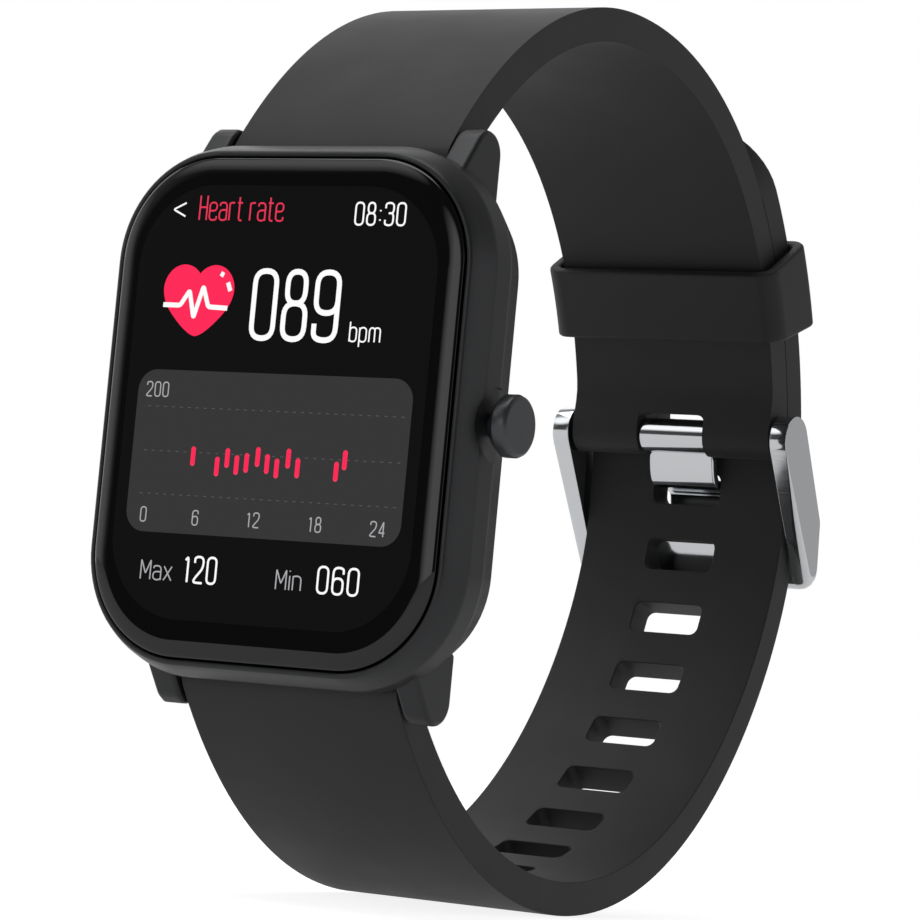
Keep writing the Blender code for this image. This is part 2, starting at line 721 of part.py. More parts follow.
def build_motor():
    """A bar-type vibration motor; its half-round weight spins on the shaft."""
    unit = circle_outline(1.0)
    bottom = MOTOR_TOP_Z - MOTOR_LENGTH
    motor = turned_z("vibration_motor", [(MOTOR_RADIUS, bottom), (MOTOR_RADIUS, MOTOR_TOP_Z)],
                     "motor_steel", unit)
    bore = [(SHAFT_BORE_RADIUS, MOTOR_TOP_Z - SHAFT_ENTRY), (SHAFT_BORE_RADIUS, MOTOR_TOP_Z + 1.0)]
    cut(motor, turned_z("shaft_bore", bore, "motor_steel", unit))
    axis = (motor_x(), world_y(MOTOR_DEPTH), MOTOR_TOP_Z)
    half_disc = circle_outline(1.0, steps=32)[:17]
    low = MOTOR_TOP_Z + 0.3
    weight = turned_z("motor_weight", [(WEIGHT_RADIUS, low), (WEIGHT_RADIUS, low + WEIGHT_LENGTH)],
                      "motor_steel", [(x, d - 0.15) for x, d in half_disc], axis)
    shaft = [(SHAFT_RADIUS, MOTOR_TOP_Z - SHAFT_ENTRY + 0.1), (SHAFT_RADIUS, low + WEIGHT_LENGTH + 0.2)]
    join(weight, turned_z("shaft", shaft, "motor_steel", unit))


# ---------------------------------------------------------------- button
def build_button():
    """The cap and its stem move together with the seal ring and the retaining clip."""
    face = CASE_WIDTH / 2 + BUTTON_STANDOFF + BUTTON_THICKNESS
    under = face - BUTTON_THICKNESS
    inner = cavity_side() - STEM_REACH
    clip_far = cavity_side() - PART_GAP
    clip_near = clip_far - CLIP_THICKNESS
    groove = STEM_RADIUS - 0.22
    seal_x = (cavity_side() + CASE_WIDTH / 2) / 2
    seal_radius = STEM_BORE_RADIUS - PART_GAP / 2 - SEAL_WIRE
    seal_floor = seal_radius - SEAL_WIRE - PART_GAP / 2
    half = SEAL_GROOVE_WIDTH / 2
    profile = [
        (groove, inner), (groove + 0.1, inner + 0.1), (STEM_RADIUS, inner + 0.3), (STEM_RADIUS, clip_near - 0.02),
        (groove, clip_near - 0.02), (groove, clip_far + 0.02), (STEM_RADIUS, clip_far + 0.02),
        (STEM_RADIUS, seal_x - half), (seal_floor, seal_x - half), (seal_floor, seal_x + half),
        (STEM_RADIUS, seal_x + half), (STEM_RADIUS, under), (BUTTON_RADIUS - BUTTON_BEVEL, under),
        (BUTTON_RADIUS, under + BUTTON_BEVEL), (BUTTON_RADIUS, face - BUTTON_BEVEL),
        (BUTTON_RADIUS - BUTTON_BEVEL, face),
    ]
    origin = (face, world_y(BUTTON_DEPTH), 0.0)
    turned_x("button_cap", profile, button_centre(), "button_grey", 32, origin)
    sections = circle_outline(SEAL_WIRE, (seal_radius, seal_x), 10)
    rings = [at_side(circle_outline(radius, button_centre()), x) for radius, x in sections]
    finish_mesh("button_seal", loft(rings, closed=True), "rubber_seal", origin)
    clip_outline = arc_band(groove + 0.03, CLIP_RADIUS, CLIP_OPENING_DEG / 2)
    rings = [[(x, world_y(BUTTON_DEPTH + a), b) for a, b in clip_outline] for x in (clip_near, clip_far)]
    finish_mesh("button_clip", loft(rings), "sheet_steel", origin)


def arc_band(inner, outer, half_opening, steps=20):
    """The outline of a C-shaped ring, open towards +a."""
    sweep = [half_opening + (360.0 - 2.0 * half_opening) * k / steps for k in range(steps + 1)]
    arc = [(math.cos(math.radians(a)), math.sin(math.radians(a))) for a in sweep]
    return [(outer * a, outer * b) for a, b in arc] + [(inner * a, inner * b) for a, b in reversed(arc)]


def build_switch():
    """The tactile switch behind the stem, and the ribbon that carries it."""
    nub_tip = cavity_side() - STEM_REACH - BUTTON_TRAVEL - PART_GAP
    face = nub_tip - 0.25
    back = face - 1.2
    profile = [(0.6, nub_tip - 0.3), (0.6, nub_tip)]
    body = [(BUTTON_DEPTH - 1.1, -2.0), (BUTTON_DEPTH + 1.1, -2.0), (BUTTON_DEPTH + 1.1, 2.0),
            (BUTTON_DEPTH - 1.1, 2.0)]
    switch = finish_mesh("button_switch", loft([at_side(body, back), at_side(body, face)]), "chip_black")
    join(switch, turned_x("nub", profile, button_centre(), "chip_black", 16))
    strip_x = back - PART_GAP - FLEX_THICKNESS
    rise = board_bottom() + 2.1
    landing = rise + 1.5
    strip = [(strip_x, -2.0), (strip_x + FLEX_THICKNESS, -2.0), (strip_x + FLEX_THICKNESS, rise + 0.1),
             (BOARD_WIDTH / 2 + 0.1, landing), (BOARD_WIDTH / 2 + 0.1, landing - FLEX_THICKNESS),
             (strip_x, rise)]
    plate("switch_flex", strip, BUTTON_DEPTH - 1.0, BUTTON_DEPTH + 1.0, "polyimide")


# ---------------------------------------------------------------- rear cover and sensor
def build_rear_cover():
    near = BACK_DEPTH - COVER_THICKNESS
    cover = plate("rear_cover", case_outline(COVER_SEAT_INSET + SEAT_GAP), near, BACK_DEPTH, "cover_black")
    bump = [(BUMP_RADIUS, BACK_DEPTH - 0.2), (BUMP_RADIUS, BACK_DEPTH),
            (BUMP_RADIUS - BUMP_CHAMFER, BACK_DEPTH + BUMP_HEIGHT)]
    join(cover, turned_y("bump", bump, (0.0, 0.0), "cover_black", 48))
    window_seat = SENSOR_DEPTH - WINDOW_THICKNESS - PART_GAP
    opening = WINDOW_BOSS_RADIUS + SEAT_GAP
    cut(cover, turned_y("opening", [(opening, 0.0), (opening, SENSOR_DEPTH + 1.0)], (0.0, 0.0), "cover_black",
                        48))
    seat = WINDOW_RADIUS + SEAT_GAP
    cut(cover, turned_y("seat", [(seat, window_seat), (seat, SENSOR_DEPTH + 1.0)], (0.0, 0.0), "cover_black", 48))
    head_floor = BACK_DEPTH - SCREW_HEAD_HEIGHT - 2 * PART_GAP
    for x, z in boss_centres():
        hole = [(SCREW_HOLE_RADIUS, 0.0), (SCREW_HOLE_RADIUS, head_floor),
                (SCREW_HEAD_RADIUS + PART_GAP, head_floor), (SCREW_HEAD_RADIUS + PART_GAP, SENSOR_DEPTH)]
        cut(cover, turned_y("screw_way", hole, (x, z), "cover_black"))
    for side in (-1, 1):
        hole = [(CONTACT_SHANK_RADIUS + PART_GAP, 0.0), (CONTACT_SHANK_RADIUS + PART_GAP, contact_shelf()),
                (CONTACT_RADIUS + PART_GAP, contact_shelf()), (CONTACT_RADIUS + PART_GAP, SENSOR_DEPTH)]
        cut(cover, turned_y("contact_way", hole, contact_centre(side), "cover_black"))
    ring_plate("rear_gasket", COVER_SEAT_INSET + SEAT_GAP, CAVITY_INSET - SEAT_GAP,
               COVER_SEAT_DEPTH + 0.02, near - 0.02, "rubber_seal")


def contact_shelf():
    return BACK_DEPTH - 0.4


def contact_centre(side):
    return (side * CONTACT_SPACING / 2, CONTACT_Z)


def build_sensor():
    step = SENSOR_DEPTH - WINDOW_THICKNESS
    window = [(WINDOW_BOSS_RADIUS, step - WINDOW_BOSS), (WINDOW_BOSS_RADIUS, step), (WINDOW_RADIUS, step),
              (WINDOW_RADIUS, SENSOR_DEPTH - 0.25), (WINDOW_RADIUS - 0.25, SENSOR_DEPTH)]
    turned_y("sensor_window", window, (0.0, 0.0), "sensor_glass", 48)
    board_far = BACK_DEPTH - COVER_THICKNESS - 2 * PART_GAP
    board = [(SENSOR_BOARD_RADIUS, board_far - SENSOR_BOARD_THICKNESS), (SENSOR_BOARD_RADIUS, board_far)]
    turned_y("sensor_board", board, (0.0, 0.0), "circuit_board")
    low, high = board_far + PART_GAP, step - WINDOW_BOSS - PART_GAP
    for name, x in (("led_left", -2.8), ("led_right", 2.8)):
        block(name, (x - 0.7, x + 0.7), (-0.9, 0.9), (low, high), "led_green")
    block("photodiode", (-1.2, 1.2), (-1.2, 1.2), (low, high), "chip_black")
    for name, side in (("charge_contact_left", -1), ("charge_contact_right", 1)):
        pin = [(CONTACT_SHANK_RADIUS, BACK_DEPTH - 1.3), (CONTACT_SHANK_RADIUS, contact_shelf() + PART_GAP),
               (CONTACT_RADIUS, contact_shelf() + PART_GAP), (CONTACT_RADIUS, BACK_DEPTH + PART_GAP)]
        turned_y(name, pin, contact_centre(side), "gold_contact")


def build_screws():
    top = BACK_DEPTH - PART_GAP
    under = top - SCREW_HEAD_HEIGHT
    profile = [(SCREW_RADIUS, COVER_SEAT_DEPTH - SCREW_LENGTH + 0.2), (SCREW_RADIUS, under),
               (SCREW_HEAD_RADIUS, under), (SCREW_HEAD_RADIUS, top), (SOCKET_RADIUS, top),
               (SOCKET_RADIUS, top - 0.3)]
    for index, (x, z) in enumerate(boss_centres(), start=1):
        turned_y(f"case_screw_{index}", profile, (x, z), "screw_black", 18)


# ---------------------------------------------------------------- spring bars
def build_spring_bar(prefix, centre):
    """A tube with two pins that its coil spring pushes apart; centre is (depth, z)."""
    half = BAND_WIDTH / 2 - BAR_TUBE_INSET
    tube_x(f"{prefix}_tube", BAR_TUBE_RADIUS, BAR_TUBE_BORE, half, centre, "bar_steel")
    tip = BAND_WIDTH / 2 + PIN_TIP_REACH
    for word, side in (("left", -1), ("right", 1)):
        reach = pin_reach(prefix)
        profile = [(PIN_RADIUS, side * (half - PIN_SHANK)), (PIN_RADIUS, side * half),
                   (PIN_TIP_RADIUS, side * half), (PIN_TIP_RADIUS, side * (reach - 0.1)),
                   (PIN_TIP_RADIUS - 0.1, side * reach)]
        origin = (side * reach, world_y(centre[0]), centre[1])
        turned_x(f"{prefix}_pin_{word}", profile, centre, "bar_steel", 16, origin)
    free = half - PIN_SHANK - (tip - BAND_WIDTH / 2) - 0.2
    coil_spring(f"{prefix}_spring", centre, free)


def pin_reach(prefix):
    if prefix == "buckle_bar":
        return BAND_WIDTH / 2 + BAND_SIDE_GAP + ARM_PIN_REACH
    return BAND_WIDTH / 2 + PIN_TIP_REACH


def coil_spring(name, centre, half_length):
    steps = 8
    total = BAR_SPRING_TURNS * steps
    rings = []
    for k in range(total + 1):
        angle = 2.0 * math.pi * k / steps
        x = -half_length + 2.0 * half_length * k / total
        ring = []
        for a, b in circle_outline(BAR_SPRING_WIRE, steps=5):
            radius = BAR_SPRING_RADIUS + a
            ring.append((x + b, world_y(centre[0] + radius * math.cos(angle)),
                         centre[1] + radius * math.sin(angle)))
        rings.append(ring)
    finish_mesh(name, loft(rings), "bar_steel")


# ---------------------------------------------------------------- band, keeper and buckle
def build_short_strap(line):
    """From the upper spring bar over the top to the buckle's hinge tube."""
    bar = buckle_centre(line)
    start = line.distance_of_z(BUCKLE_BAR_Z)
    inset = -(BAND_THICKNESS / 2 + BAND_GAP)
    half = BAND_WIDTH / 2
    strap = strap_sweep("short_strap", line, inset, start, line.length, lambda distance: half)
    join(strap, end_cylinder(bar, HINGE_TUBE_RADIUS), end_cylinder(bar_centre(1), BAND_END_RADIUS))
    cut(strap, bore_cutter(bar, BAND_BORE), bore_cutter(bar_centre(1), BAND_BORE))
    notch_half = TONGUE_ROLL_WIDTH / 2 + NOTCH_GAP
    reach = HINGE_TUBE_RADIUS * 1.25
    outline = circle_outline(reach, bar)
    rings = [at_side(outline, -notch_half), at_side(outline, notch_half)]
    cut(strap, finish_mesh("notch", loft(rings), "band_silicone"))


def build_long_strap(line):
    """From the lower spring bar, round the back and through the buckle and keeper to the tip."""
    half = BAND_WIDTH / 2
    end = line.distance_of_z(BUCKLE_BAR_Z) + TIP_FROM_BAR

    def half_width_at(distance):
        past = distance - (end - TIP_CORNER)
        if past <= 0.0:
            return half
        return half - TIP_CORNER + math.sqrt(max(TIP_CORNER ** 2 - past ** 2, 0.0))

    strap = strap_sweep("long_strap", line, BAND_THICKNESS / 2, 0.0, end, half_width_at)
    join(strap, end_cylinder(bar_centre(-1), BAND_END_RADIUS))
    cut(strap, bore_cutter(bar_centre(-1), BAND_BORE))
    cut(strap, *[slot_cutter(line, distance) for distance in slot_distances(line)])


def keeper_pivot(line):
    """The centre of curvature of the band under the keeper, as (depth, z)."""
    distance = line.distance_of_z(BUCKLE_BAR_Z) + KEEPER_FROM_BAR
    reach = KEEPER_LENGTH
    bend = line.heading(distance - reach).angle(line.heading(distance + reach))
    return line.offset(distance, -2.0 * reach / bend)


def build_keeper(line):
    distance = line.distance_of_z(BUCKLE_BAR_Z) + KEEPER_FROM_BAR
    centre = line.offset(distance, -BAND_GAP / 2)
    out, along = line.outward(distance), line.heading(distance)
    inner = (BAND_WIDTH / 2 + KEEPER_CLEARANCE, BAND_THICKNESS + BAND_GAP / 2 + KEEPER_CLEARANCE)
    outer = (inner[0] + KEEPER_SIDE_WALL, inner[1] + KEEPER_WALL)
    half = KEEPER_LENGTH / 2
    rings = []
    for (wide, thick), corner, s in ((outer, KEEPER_CORNER, -half), (outer, KEEPER_CORNER, half),
                                     (inner, 0.4, half), (inner, 0.4, -half)):
        base = centre + along * s
        rings.append([(x, world_y(base.x + out.x * n), base.y + out.y * n)
                      for x, n in rounded_outline(wide, thick, corner)])
    pivot = keeper_pivot(line)
    finish_mesh("keeper_loop", loft(rings, closed=True), "band_silicone", (0.0, world_y(pivot.x), pivot.y))


def frame_bar_centre(line):
    """The far bar lies just outside the long strap, as (depth, z)."""
    distance = line.distance_of_z(BUCKLE_BAR_Z) - FRAME_REACH
    return line.offset(distance, BAND_THICKNESS + ARM_END_RADIUS + FAR_BAR_GAP)


def build_buckle_frame(line):
    """Two tapered arms hinged on the buckle bar, joined by the far bar outside the band."""
    hinge, far = buckle_centre(line), frame_bar_centre(line)
    direction = (far - hinge).normalized()
    elbow = hinge.lerp(far, ELBOW_SHARE) + left_of(direction) * ELBOW_OFFSET
    outline = hull_outline([(*hinge, ARM_HINGE_RADIUS), (*elbow, ARM_ELBOW_RADIUS), (*far, ARM_END_RADIUS)])
    inner = BAND_WIDTH / 2 + BAND_SIDE_GAP
    origin = (0.0, world_y(hinge.x), hinge.y)
    profile = [(ARM_END_RADIUS, -inner - 0.1), (ARM_END_RADIUS, inner + 0.1)]
    frame = turned_x("buckle_frame", profile, far, "buckle_chrome", ROUND_STEPS, origin)
    for side in (-1, 1):
        xs = (side * inner, side * (inner + ARM_THICKNESS))
        arm = finish_mesh("arm", loft([at_side(outline, x) for x in xs]), "buckle_chrome")
        join(frame, arm)
        depth = inner + ARM_HOLE_DEPTH
        hole = [(PIN_HOLE_RADIUS, side * (inner - 1.0)), (PIN_HOLE_RADIUS, side * depth)]
        cut(frame, turned_x("hole", hole, hinge, "buckle_chrome"))


def build_buckle_tongue(line):
    """A roll on the buckle bar and a blade that passes the slot and lies over the far bar."""
    hinge, far = buckle_centre(line), frame_bar_centre(line)
    slot = line.distance_of_z(BUCKLE_BAR_Z) - FIRST_SLOT_FROM_BAR
    half = TONGUE_THICKNESS / 2
    out, along = line.outward(slot), line.heading(slot)
    entry = line.offset(slot, -0.1) + along * 0.45
    leave = line.offset(slot, BAND_THICKNESS + half + 0.25) - along * 0.55
    clear = ARM_END_RADIUS + half + 0.15
    over = far + Vector((1.0, 0.12)).normalized() * clear
    tip = over + (over - leave).normalized() * 1.6
    root = hinge + heading_vector(-20.0) * (TONGUE_ROLL_RADIUS - half)
    controls = (root, root + Vector((0.4, -1.4)), entry - out * 1.0, entry + out * 0.3)
    blade = [p.to_2d() for p in interpolate_bezier(*[c.to_3d() for c in controls], 7)]
    controls = (entry + out * 0.3, entry + out * 1.9, leave + along * 0.9, leave - along * 0.4)
    blade += [p.to_2d() for p in interpolate_bezier(*[c.to_3d() for c in controls], 9)][1:]
    blade += [over, tip]
    rings = []
    for index, point in enumerate(blade):
        before, after = blade[max(index - 1, 0)], blade[min(index + 1, len(blade) - 1)]
        side = left_of((after - before).normalized()) * half
        wide = TONGUE_WIDTH / 2 if index < len(blade) - 1 else TONGUE_WIDTH / 2 - 0.8
        if index < 2:
            wide = TONGUE_ROLL_WIDTH / 2
        rings.append([(x, world_y(point.x + s * side.x), point.y + s * side.y)
                      for x, s in ((-wide, -1), (wide, -1), (wide, 1), (-wide, 1))])
    origin = (0.0, world_y(hinge.x), hinge.y)
    tongue = finish_mesh("buckle_tongue", loft(rings), "buckle_chrome", origin)
    roll_half = TONGUE_ROLL_WIDTH / 2
    profile = [(TONGUE_ROLL_RADIUS, -roll_half), (TONGUE_ROLL_RADIUS, roll_half)]
    join(tongue, turned_x("roll", profile, hinge, "buckle_chrome"))
    cut(tongue, bore_cutter(hinge, BAND_BORE))


def main():
    clear_scene()
    line = BandLine()
    build_case_shell()
    build_glass()
    build_display()
    build_display_flex()
    build_mid_frame()
    build_board()
    build_battery()
    build_motor()
    build_button()
    build_switch()
    build_rear_cover()
    build_sensor()
    build_screws()
    build_short_strap(line)
    build_long_strap(line)
    build_keeper(line)
    build_buckle_frame(line)
    build_buckle_tongue(line)
    build_spring_bar("lug_bar_top", bar_centre(1))
    build_spring_bar("lug_bar_bottom", bar_centre(-1))
    build_spring_bar("buckle_bar", buckle_centre(line))


if __name__ == "__main__":
    main()
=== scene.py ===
"""Smartwatch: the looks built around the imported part.

Laid out as an add-on and run as a script. Axes: +X button side, +Y from display to wrist, +Z twelve
o'clock. The origin is the centre of the sensor window's flat outer face.
"""
import math

import bmesh
import bpy
from bpy.props import FloatProperty, FloatVectorProperty, IntProperty, PointerProperty
from mathutils import Matrix, Vector
from mathutils.geometry import interpolate_bezier


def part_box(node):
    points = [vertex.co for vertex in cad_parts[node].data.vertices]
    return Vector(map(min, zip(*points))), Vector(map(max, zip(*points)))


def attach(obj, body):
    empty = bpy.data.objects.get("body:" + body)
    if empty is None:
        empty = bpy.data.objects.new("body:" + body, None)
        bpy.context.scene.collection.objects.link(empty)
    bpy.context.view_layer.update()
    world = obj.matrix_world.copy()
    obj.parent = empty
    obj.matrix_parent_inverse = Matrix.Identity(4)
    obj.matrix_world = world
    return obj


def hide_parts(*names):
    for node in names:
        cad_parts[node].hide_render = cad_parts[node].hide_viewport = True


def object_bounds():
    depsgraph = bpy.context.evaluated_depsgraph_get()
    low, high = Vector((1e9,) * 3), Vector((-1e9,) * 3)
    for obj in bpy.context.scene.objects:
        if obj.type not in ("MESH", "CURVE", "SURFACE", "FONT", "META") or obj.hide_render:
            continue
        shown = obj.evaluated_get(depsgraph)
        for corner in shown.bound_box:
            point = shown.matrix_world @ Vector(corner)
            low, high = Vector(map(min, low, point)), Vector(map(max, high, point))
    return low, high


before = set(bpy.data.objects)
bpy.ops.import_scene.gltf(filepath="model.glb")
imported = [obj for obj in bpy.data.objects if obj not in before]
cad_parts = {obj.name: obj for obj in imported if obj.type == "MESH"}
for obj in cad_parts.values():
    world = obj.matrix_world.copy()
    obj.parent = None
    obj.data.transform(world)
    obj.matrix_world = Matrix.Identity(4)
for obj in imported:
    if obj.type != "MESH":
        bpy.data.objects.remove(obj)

bl_info = {
    "name": "Smartwatch",
    "version": (1, 0, 0),
    "blender": (4, 5, 0),
    "location": "3D View > Sidebar > Watch",
    "description": "Builds a smartwatch with its band, buckle and heart-rate screen",
    "category": "Add Mesh",
}

MM = 0.001
CAD_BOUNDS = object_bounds()
CASE_LOW, CASE_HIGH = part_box("case_shell")
GLASS_LOW, GLASS_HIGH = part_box("front_glass")
CAP_LOW, CAP_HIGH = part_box("button_cap")
COVER_LOW, COVER_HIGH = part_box("rear_cover")
WINDOW_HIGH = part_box("sensor_window")[1]
BAND_LOW, BAND_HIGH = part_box("long_strap")
KEEPER_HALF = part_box("keeper_loop")[1][0]
FRAME_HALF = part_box("buckle_frame")[1][0]

# Spring bars: the lugs' bars stand at this Y and this Z either side, the buckle's at its own height.
LUG_BAR_Y = -3.4 * MM
LUG_BAR_Z = 20.6 * MM
BUCKLE_BAR_Z = 5.7 * MM
# Distances along the band from the buckle's bar.
TONGUE_SLOT = -4.9 * MM
KEEPER_MIDDLE = 13.2 * MM
STRAP_END = 28.9 * MM
FAR_BAR = -11.7 * MM
SLOT_STEP = 6.1 * MM
STRAP_GAP = 0.1 * MM  # between the two straps where they lie on each other
LUG_END = 1.45 * MM  # how far a strap reaches past its lug's bar
END_ROUND = 1.5 * MM  # radius that a strap's end is rounded to
TUBE_RADIUS = 1.9 * MM  # the short strap's tube round the buckle's bar
FAR_BAR_RADIUS = 0.8 * MM
INK = 0.02 * MM  # thickness of one layer drawn on the screen
QUARTER_TURN = math.pi / 2


# ---------------------------------------------------------------- settings
class CaseSettings(bpy.types.PropertyGroup):
    """Sizes and colour of the case and its glass."""
    width: FloatProperty(name="Width", description="Case width without the button", subtype="DISTANCE",
                         default=CASE_HIGH[0] - CASE_LOW[0])
    height: FloatProperty(name="Height", description="Case height without the lugs", subtype="DISTANCE",
                          default=41.7 * MM)
    corner: FloatProperty(name="Corner radius", description="Radius of the case corners",
                          subtype="DISTANCE", default=9.6 * MM)
    glass_bevel: FloatProperty(name="Glass edge", description="Width of the rounded glass edge",
                               subtype="DISTANCE", default=1.25 * MM)
    edge_round: FloatProperty(name="Edge rounding", description="Rounding of the case's creases",
                              subtype="DISTANCE", default=0.25 * MM)
    colour: FloatVectorProperty(name="Case colour", description="Anodised colour", subtype="COLOR",
                                size=3, min=0.0, max=1.0, default=(0.030, 0.031, 0.033))


class BandSettings(bpy.types.PropertyGroup):
    """Sizes and colour of the two straps and the keeper."""
    width: FloatProperty(name="Width", description="Band width at the lugs", subtype="DISTANCE",
                         default=BAND_HIGH[0] - BAND_LOW[0])
    thickness: FloatProperty(name="Thickness", description="Thickness of each strap", subtype="DISTANCE",
                             default=2.8 * MM)
    edge_round: FloatProperty(name="Edge rounding", description="Rounding along the strap's edges",
                              subtype="DISTANCE", default=0.4 * MM)
    slot_length: FloatProperty(name="Slot length", description="Slot size across the band",
                               subtype="DISTANCE", default=6.8 * MM)
    slot_height: FloatProperty(name="Slot height", description="Slot size along the band",
                               subtype="DISTANCE", default=2.9 * MM)
    slots: IntProperty(name="Slots", description="Number of adjustment slots", default=12, min=3, max=16)
    colour: FloatVectorProperty(name="Band colour", description="Silicone colour", subtype="COLOR",
                                size=3, min=0.0, max=1.0, default=(0.0135, 0.0135, 0.014))


class ScreenSettings(bpy.types.PropertyGroup):
    """Readings, clock and glow of the screen."""
    heart_rate: IntProperty(name="Heart rate", description="Beats per minute", default=89, min=0,
                            max=250)
    highest: IntProperty(name="Highest", description="Highest reading", default=120, min=0, max=250)
    lowest: IntProperty(name="Lowest", description="Lowest reading", default=60, min=0, max=250)
    hour: IntProperty(name="Hour", description="Hour shown", default=8, min=0, max=23)
    minute: IntProperty(name="Minute", description="Minute shown", default=30, min=0, max=59)
    glow: FloatProperty(name="Glow", description="Brightness of the lit screen", default=1.0, min=0.0)


class StageSettings(bpy.types.PropertyGroup):
    """Floor and light."""
    floor_size: FloatProperty(name="Floor", description="Length of the floor's side", unit="LENGTH",
                              default=6.0)
    light: FloatProperty(name="Light", description="Strength of the soft lights", default=1.0, min=0.0)


# ---------------------------------------------------------------- modelling by operator
def deselect_everything():
    if bpy.context.object and bpy.context.object.mode != "OBJECT":
        bpy.ops.object.mode_set(mode="OBJECT")
    bpy.ops.object.select_all(action="DESELECT")


def activate(piece):
    deselect_everything()
    piece.select_set(True)
    bpy.context.view_layer.objects.active = piece


def name_new_piece(name):
    """Name the primitive just added and put its place and size into its mesh."""
    piece = bpy.context.active_object
    piece.name = name
    piece.data.name = name
    bpy.ops.object.transform_apply(location=True, rotation=True, scale=True)
    return piece


def open_edit(piece, kind="FACE"):
    activate(piece)
    bpy.ops.object.mode_set(mode="EDIT")
    bpy.ops.mesh.select_mode(type=kind)
    bpy.ops.mesh.select_all(action="DESELECT")


def close_edit():
    bpy.ops.object.mode_set(mode="OBJECT")


def choose(piece, kind, test):
    """In edit mode, select the vertices, edges or faces that pass the test, and say how many."""
    bpy.ops.mesh.select_mode(type=kind)
    bpy.ops.mesh.select_all(action="DESELECT")
    shape = bmesh.from_edit_mesh(piece.data)
    elements = {"VERT": shape.verts, "EDGE": shape.edges, "FACE": shape.faces}[kind]
    chosen = [element for element in elements if test(element)]
    for element in chosen:
        element.select_set(True)
    shape.select_flush_mode()
    bmesh.update_edit_mesh(piece.data)
    return len(chosen)


def centre_of(low, high):
    return [(a + b) / 2 for a, b in zip(low, high)]


def runs_along(edge, axis):
    way = edge.verts[1].co - edge.verts[0].co
    return abs(way[axis]) > 0.99 * way.length


def modify(piece, kind, **settings):
    """Add a modifier and apply it."""
    activate(piece)
    modifier = piece.modifiers.new(kind.title(), kind)
    for key, value in settings.items():
        setattr(modifier, key, value)
    bpy.ops.object.modifier_apply(modifier=modifier.name)


def soften(piece, width, segments=3, angle=30.0):
    modify(piece, "BEVEL", width=width, segments=segments, limit_method="ANGLE",
           angle_limit=math.radians(angle), use_clamp_overlap=True, miter_outer="MITER_ARC")


def smooth(piece, angle=32.0):
    """Smooth shading that keeps sharp creases sharp and broad faces flat."""
    activate(piece)
    bpy.ops.object.shade_smooth_by_angle(angle=math.radians(angle))
    modify(piece, "WEIGHTED_NORMAL", keep_sharp=True, weight=60)


def merge(piece, tool, operation):
    modify(piece, "BOOLEAN", operation=operation, solver="EXACT", object=tool)
    bpy.data.objects.remove(tool, do_unlink=True)


def add_block(name, low, high):
    size = [b - a for a, b in zip(low, high)]
    deselect_everything()
    bpy.ops.mesh.primitive_cube_add(size=1.0, location=centre_of(low, high), scale=size)
    return name_new_piece(name)


def add_disc(name, axis, radius, low, high, centre, vertices=96):
    """A cylinder along X or Y from low to high; centre gives its other two places."""
    place, turn = {
        "X": (((low + high) / 2, *centre), (0.0, QUARTER_TURN, 0.0)),
        "Y": ((centre[0], (low + high) / 2, centre[1]), (QUARTER_TURN, 0.0, 0.0)),
    }[axis]
    deselect_everything()
    bpy.ops.mesh.primitive_cylinder_add(vertices=vertices, radius=radius, depth=high - low,
                                        location=place, rotation=turn)
    return name_new_piece(name)


def add_rounded_block(name, half_x, half_z, corner, near_y, far_y, segments=20, centre=(0.0, 0.0)):
    """A block with four edges along Y rounded."""
    low = (centre[0] - half_x, near_y, centre[1] - half_z)
    high = (centre[0] + half_x, far_y, centre[1] + half_z)
    block = add_block(name, low, high)
    open_edit(block, "EDGE")
    choose(block, "EDGE", lambda edge: runs_along(edge, 1))
    bpy.ops.mesh.bevel(offset=corner, segments=segments, affect="EDGES", clamp_overlap=False)
    close_edit()
    return block


def step_from_end(piece, axis, side, steps):
    """From the end face on that side, inset and move by each (inset, advance) in turn, in mm.

    The last face stays selected, and edit mode stays open.
    """
    open_edit(piece, "FACE")
    shape = bmesh.from_edit_mesh(piece.data)
    reach = max(side * vert.co[axis] for vert in shape.verts)
    count = choose(piece, "FACE", lambda face: side * face.normal[axis] > 0.99
                   and side * face.calc_center_median()[axis] > reach - 1e-7)
    if count != 1:
        raise RuntimeError(f"{piece.name}: {count} end faces")
    for inset, advance in steps:
        if inset == 0.0:
            way = [0.0, 0.0, 0.0]
            way[axis] = side * advance * MM
            bpy.ops.mesh.extrude_region_move(
                TRANSFORM_OT_translate={"value": way, "orient_type": "GLOBAL"})
        else:
            bpy.ops.mesh.inset(thickness=inset * MM, depth=advance * MM, use_even_offset=True)


def bridge_open_ends():
    """In edit mode, join the piece's two open rims with a wall."""
    bpy.ops.mesh.select_mode(type="EDGE")
    bpy.ops.mesh.select_all(action="DESELECT")
    bpy.ops.mesh.select_non_manifold()
    bpy.ops.mesh.bridge_edge_loops()
    bpy.ops.mesh.select_all(action="SELECT")
    bpy.ops.mesh.normals_make_consistent(inside=False)


def add_hull(name, points):
    """The convex hull of the points, with flat faces merged."""
    deselect_everything()
    bpy.ops.mesh.primitive_cube_add(size=MM)
    piece = name_new_piece(name)
    open_edit(piece, "VERT")
    bpy.ops.mesh.select_all(action="SELECT")
    bpy.ops.mesh.delete(type="VERT")
    shape = bmesh.from_edit_mesh(piece.data)
    for point in points:
        shape.verts.new(point).select = True
    bmesh.update_edit_mesh(piece.data)
    bpy.ops.mesh.select_all(action="SELECT")
    bpy.ops.mesh.convex_hull()
    bpy.ops.mesh.select_all(action="SELECT")
    bpy.ops.mesh.dissolve_limited(angle_limit=math.radians(3.0))
    bpy.ops.mesh.normals_make_consistent(inside=False)
    close_edit()
    return piece


def circle_points(centre, radius, count=24):
    turn = math.tau / count
    return [(centre[0] + radius * math.cos(turn * k), centre[1] + radius * math.sin(turn * k))
            for k in range(count)]


